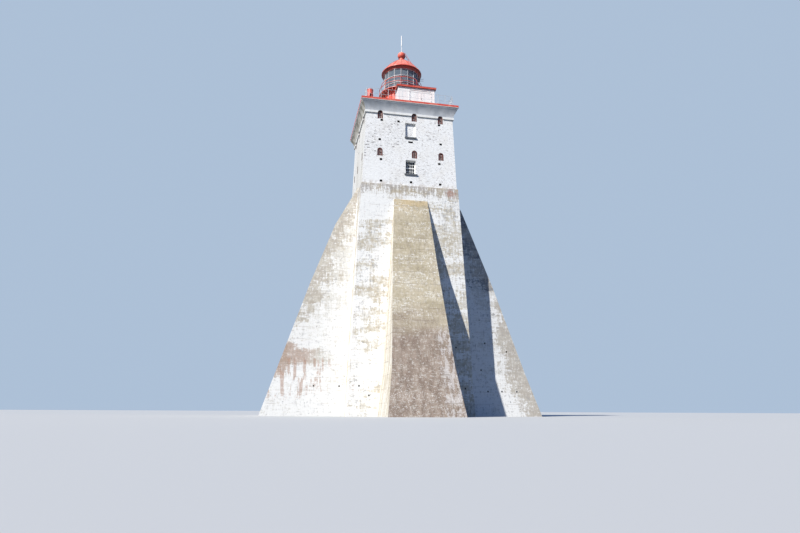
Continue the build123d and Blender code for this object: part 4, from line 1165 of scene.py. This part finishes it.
niche_middle = NICHE_FOOT + NICHE_SIZE[1] / 2
filling = upright_grid(
    (WINDOW_X, FILLING_SETBACK - wall_face(niche_middle), niche_middle),
    [side - FILLING_GAP for side in NICHE_SIZE], FILLING_FACES,
)
for corner in filling.data.vertices:
    lump = (noise.noise(corner.co * LUMPS_TO_METRE) - 0.5) * UNEVEN
    corner.co.y += lump + (corner.co.z - NICHE_FOOT) * FILLING_LEAN
thicken(filling, FILLING_DEPTH, -1)
dress(join("niche_filling", [filling] + copies(filling, [quarter(2)])), "limewash")

# %% [markdown]
# ## Wire mesh of the gallery railing
# Fine wire mesh fills the railing from just over the deck to its top rail. Thousands of single wires
# would be slow to place. A grid with the Wireframe modifier makes each edge a wire, so one piece to a
# side is enough.

# %% Railing mesh
WIRE = 0.002
MESH_STEP = 0.060
MESH_FOOT = 0.12
MESH_HEAD = 1.20
MESH_GAP = 0.06
RAIL_LINE = 4.05

deck_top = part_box("gallery_deck")[1][2]
mesh_height = MESH_HEAD - MESH_FOOT
mesh = upright_grid(
    (0, -RAIL_LINE, deck_top + (MESH_FOOT + MESH_HEAD) / 2), (2 * RAIL_LINE - MESH_GAP, mesh_height),
    (round(2 * RAIL_LINE / MESH_STEP), round(mesh_height / MESH_STEP)),
)
wires = mesh.modifiers.new("wires", "WIREFRAME")
wires.thickness = WIRE
wires.use_even_offset = False
bpy.ops.object.modifier_apply(modifier=wires.name)
for turns, side in enumerate(("front", "right", "rear", "left")):
    panel = copies(mesh, [quarter(turns)])[0]
    panel.name = "railing_mesh_" + side
    dress(panel, "galvanised_steel")
remove(mesh)

# %% [markdown]
# ## Bolts and rivets of the lantern
# Bolts run down each rib of the drum, and rivets run up each seam of the dome. Both are a low six-sided
# head, drawn in at its top, because a rounder one would only add faces. The places on the dome are found
# by looking inwards from outside until the dome is met, and a head is turned to the surface there.

# %% One bolt head
HEAD_RADIUS = 0.026
HEAD_HEIGHT = 0.020
HEAD_SIDES = 6
HEAD_TAPER = 0.4

clear()
bpy.ops.mesh.primitive_cylinder_add(
    vertices=HEAD_SIDES, radius=HEAD_RADIUS, depth=HEAD_HEIGHT, location=(0, 0, HEAD_HEIGHT / 2)
)
head = settle(bpy.context.object)
for face in head.data.polygons:
    face.select = face.normal.z > 0.9
bpy.ops.object.mode_set(mode="EDIT")
bpy.ops.mesh.select_mode(type="FACE")
bpy.ops.mesh.inset(thickness=HEAD_RADIUS * HEAD_TAPER)
bpy.ops.transform.translate(value=(0, 0, HEAD_HEIGHT * HEAD_TAPER))
bpy.ops.object.mode_set(mode="OBJECT")
print("head faces", len(head.data.polygons))

# %% Bolts and rivets
FACETS = 16
FACET_TURN = math.radians(10.0)
RIB_FACE = 1.75
BOLT_SINK = 0.002
BOLTS_UP = 8
BOLT_START = 0.18
BOLT_STEP = 0.29
RIVETS_UP = 11
RIVET_START = 0.06
RIVET_STEP = 0.135
OUTSIDE = 3.0

drum_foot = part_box("lantern_drum")[0][2]
dome_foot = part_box("lantern_dome")[0][2]
dome = frame["nodes"]["lantern_dome"]


def angles(count):
    """Equal angles about the axis, from the first corner of the facets on."""
    return [FACET_TURN + index * math.tau / count for index in range(count)]


def round_about(angle, radius, level):
    """A point at an angle about the axis."""
    return Vector((math.cos(angle) * radius, math.sin(angle) * radius, level))


def stand_on(point, normal):
    """A matrix that stands a head on a surface."""
    return Matrix.Translation(point) @ normal.to_track_quat("Z", "Y").to_matrix().to_4x4()


heads = []
for angle in angles(2 * FACETS):
    for row in range(BOLTS_UP):
        place = round_about(angle, RIB_FACE - BOLT_SINK, drum_foot + BOLT_START + row * BOLT_STEP)
        heads.append(stand_on(place, round_about(angle, 1, 0)))
for angle in angles(FACETS):
    for row in range(RIVETS_UP):
        start = round_about(angle, OUTSIDE, dome_foot + RIVET_START + row * RIVET_STEP)
        met, place, normal = dome.ray_cast(start, round_about(angle, -1, 0))[:3]
        if met:
            heads.append(stand_on(place, normal))
dress(join("lantern_rivets", copies(head, heads)), "red_paint")
remove(head)

# %% [markdown]
# ## Cabin fittings
# The two door leaves hang on three hinges each at their outer edges, and a bar handle closes them. A
# weather strip runs over the doors, a stop closes the gap between them, and trims cover the cabin's
# front corners. All are given by their ranges across, behind the cabin's face and over the deck, as
# they would be marked out on the wall.

# %% Rods and fittings
CABIN_FACE = -3.25
ROD_SIDES = 10


def rod(middle, radius, height, chamfer):
    """An upright round rod about a point, with its edges taken off."""
    clear()
    bpy.ops.mesh.primitive_cylinder_add(vertices=ROD_SIDES, radius=radius, depth=height, location=middle)
    return chamfered(settle(bpy.context.object), chamfer)


def fitting(across, behind, over, chamfer):
    """A block by its ranges across, behind the cabin's face and over the deck."""
    low, high = ((across[end], CABIN_FACE + behind[end], deck_top + over[end]) for end in (0, 1))
    return block(low, high, chamfer)


# %% Hinges and handle
HINGE_LINES = (0.16, 2.24)
HINGE_RISES = (0.92, 1.38, 1.74)
KNUCKLE_RADIUS = 0.015
KNUCKLE_HEIGHT = 0.09
KNUCKLE_CHAMFER = 0.006
KNUCKLE_OUT = 0.006
STRAP_LOW = (-0.050, -0.006, -0.016)
STRAP_HIGH = (0.050, 0.004, 0.016)
STRAP_CHAMFER = 0.003
HANDLE = ((1.26, 1.36), (-0.030, -0.014), (1.08, 1.10))
STEM = ((1.26, 1.29), (-0.022, 0.030), (1.075, 1.105))
HANDLE_CHAMFER = 0.004

knuckle = rod((0, -KNUCKLE_OUT, 0), KNUCKLE_RADIUS, KNUCKLE_HEIGHT, KNUCKLE_CHAMFER)
hinge = join("hinge", [knuckle, block(STRAP_LOW, STRAP_HIGH, STRAP_CHAMFER)])
hinge_places = [
    Matrix.Translation((x, CABIN_FACE, deck_top + rise)) for x in HINGE_LINES for rise in HINGE_RISES
]
iron_fittings = copies(hinge, hinge_places)
iron_fittings += [fitting(*HANDLE, HANDLE_CHAMFER), fitting(*STEM, HANDLE_CHAMFER)]
dress(join("cabin_hinges", iron_fittings), "wrought_iron")
remove(hinge)

# %% Trims
WEATHER_STRIP = ((0.10, 2.30), (-0.018, 0.01), (1.94, 1.98))
DOOR_STOP = ((1.17, 1.23), (0.018, 0.040), (0.02, 1.92))
CORNER_OUT = 0.012
CORNER_IN = 0.05
TRIM_CHAMFER = 0.008
STOP_CHAMFER = 0.006

cabin_low, cabin_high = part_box("cabin_front_wall")
corner_behind = (-CORNER_OUT, CORNER_IN)
corner_over = (0, cabin_high[2] - deck_top)
left_corner = (cabin_low[0] - CORNER_OUT, cabin_low[0] + CORNER_IN)
right_corner = (cabin_high[0] - CORNER_IN, cabin_high[0] + CORNER_OUT)
trims = [
    fitting(*WEATHER_STRIP, TRIM_CHAMFER),
    fitting(left_corner, corner_behind, corner_over, TRIM_CHAMFER),
    fitting(right_corner, corner_behind, corner_over, TRIM_CHAMFER),
    fitting(*DOOR_STOP, STOP_CHAMFER),
]
dress(join("cabin_trims", trims), "white_paint")

# %% [markdown]
# ## Sheet metal edges
# The cabin's roof ends in a rounded nosing and has raised seams. The red edging of the deck is bent
# from sheets, so a lap shows every metre and a half, and a roll runs along its top. A white bead closes
# the gap between the edging and the slab. The sheets are there already, so only these edges are added,
# each as a long block with its edges cut off, which looks round enough from the ground.

# %% Roof seams and nosing
ROOF_SEAMS = 7
SEAM_HALF = 0.012
SEAM_RISE = 0.028
SEAM_END = 0.02
SEAM_CHAMFER = 0.006
NOSING = 0.035
NOSING_CHAMFER = NOSING * 0.3
HAIR = 0.004

roof_low, roof_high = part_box("cabin_roof")
roofing = []
for index in range(ROOF_SEAMS):
    x = roof_low[0] + (index + 0.5) * (roof_high[0] - roof_low[0]) / ROOF_SEAMS
    seam = block(
        (x - SEAM_HALF, roof_low[1] + SEAM_END, roof_high[2] - HAIR),
        (x + SEAM_HALF, roof_high[1] - SEAM_END, roof_high[2] + SEAM_RISE), SEAM_CHAMFER,
    )
    roofing.append(seam)

front_left = (roof_low[0], roof_low[1])
front_right = (roof_high[0], roof_low[1])
rear_left = (roof_low[0], roof_high[1])
rear_right = (roof_high[0], roof_high[1])
for low, high in ((front_left, front_right), (front_left, rear_left), (front_right, rear_right)):
    nosing = block(
        (low[0] - NOSING / 2, low[1] - NOSING / 2, roof_high[2] - NOSING),
        (high[0] + NOSING / 2, high[1] + NOSING / 2, roof_high[2] + HAIR), NOSING_CHAMFER,
    )
    roofing.append(nosing)
dress(join("roof_seams", roofing), "red_paint")

# %% Laps, roll and bead of the edging
LAP = 0.09
LAPS = 6
LAP_STEP = 1.5
LAP_PROUD = 0.005
SINK = 0.01
ROLL_SIZE = 0.065
ROLL_CHAMFER = ROLL_SIZE * 0.28
BEAD = 0.050
BEAD_DEPTH = 0.10
BEAD_GAP = 0.001
BEAD_CHAMFER = 0.012

edging_low, edging_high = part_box("deck_edging")


def on_four_sides(name, pattern, slot, shifts=(0,)):
    """The front's pattern at each shift along all four sides, as one dressed piece."""
    places = [quarter(turns) @ Matrix.Translation((shift, 0, 0)) for turns in range(4) for shift in shifts]
    dress(join(name, copies(pattern, places)), slot)
    remove(pattern)


lap = block(
    (-LAP / 2, edging_low[1] - LAP_PROUD, edging_low[2] + HAIR),
    (LAP / 2, edging_low[1] + SINK, edging_high[2] - HAIR / 2), HAIR / 2,
)
lap_shifts = [(index - (LAPS - 1) / 2) * LAP_STEP for index in range(LAPS)]
on_four_sides("edging_laps", lap, "red_paint", lap_shifts)

roll = block(
    (edging_low[0], edging_low[1], edging_high[2] - SINK),
    (edging_high[0], edging_low[1] + ROLL_SIZE, edging_high[2] + ROLL_SIZE), ROLL_CHAMFER,
)
on_four_sides("edging_roll", roll, "red_paint")

bead = block(
    (edging_low[0] + HAIR, edging_low[1] + HAIR, edging_low[2] - BEAD),
    (edging_high[0] - HAIR, edging_low[1] + BEAD_DEPTH, edging_low[2] - BEAD_GAP), BEAD_CHAMFER,
)
on_four_sides("edging_bead", bead, "white_paint")

# %% [markdown]
# ## Stay of the vent pipe
# A thin rod stands beside the pipe and is held to it by two straps. The rod is a cylinder with its ends
# bevelled, and a strap is a short block that ends in the pipe's wall, so nothing floats.

# %% Vent stay
PIPE_CENTRE = (-3.57, -3.00)
STAY_OFFSET = 0.36
STAY_RADIUS = 0.016
STAY_HEIGHT = 1.75
STAY_CHAMFER = 0.004
STRAP_RISES = (0.45, 1.35)
STRAP_HALF = 0.02
STRAP_HEIGHT = 0.03
STRAP_END = 0.26

pipe_x, pipe_y = PIPE_CENTRE
stay_x = pipe_x - STAY_OFFSET
stay = rod((stay_x, pipe_y, deck_top + STAY_HEIGHT / 2), STAY_RADIUS, STAY_HEIGHT, STAY_CHAMFER)
straps = [
    block(
        (stay_x - STRAP_HALF, pipe_y - STRAP_HALF, deck_top + rise),
        (pipe_x - STRAP_END, pipe_y + STRAP_HALF, deck_top + rise + STRAP_HEIGHT), STAY_CHAMFER,
    )
    for rise in STRAP_RISES
]
dress(join("vent_stay", [stay] + straps), "galvanised_steel")
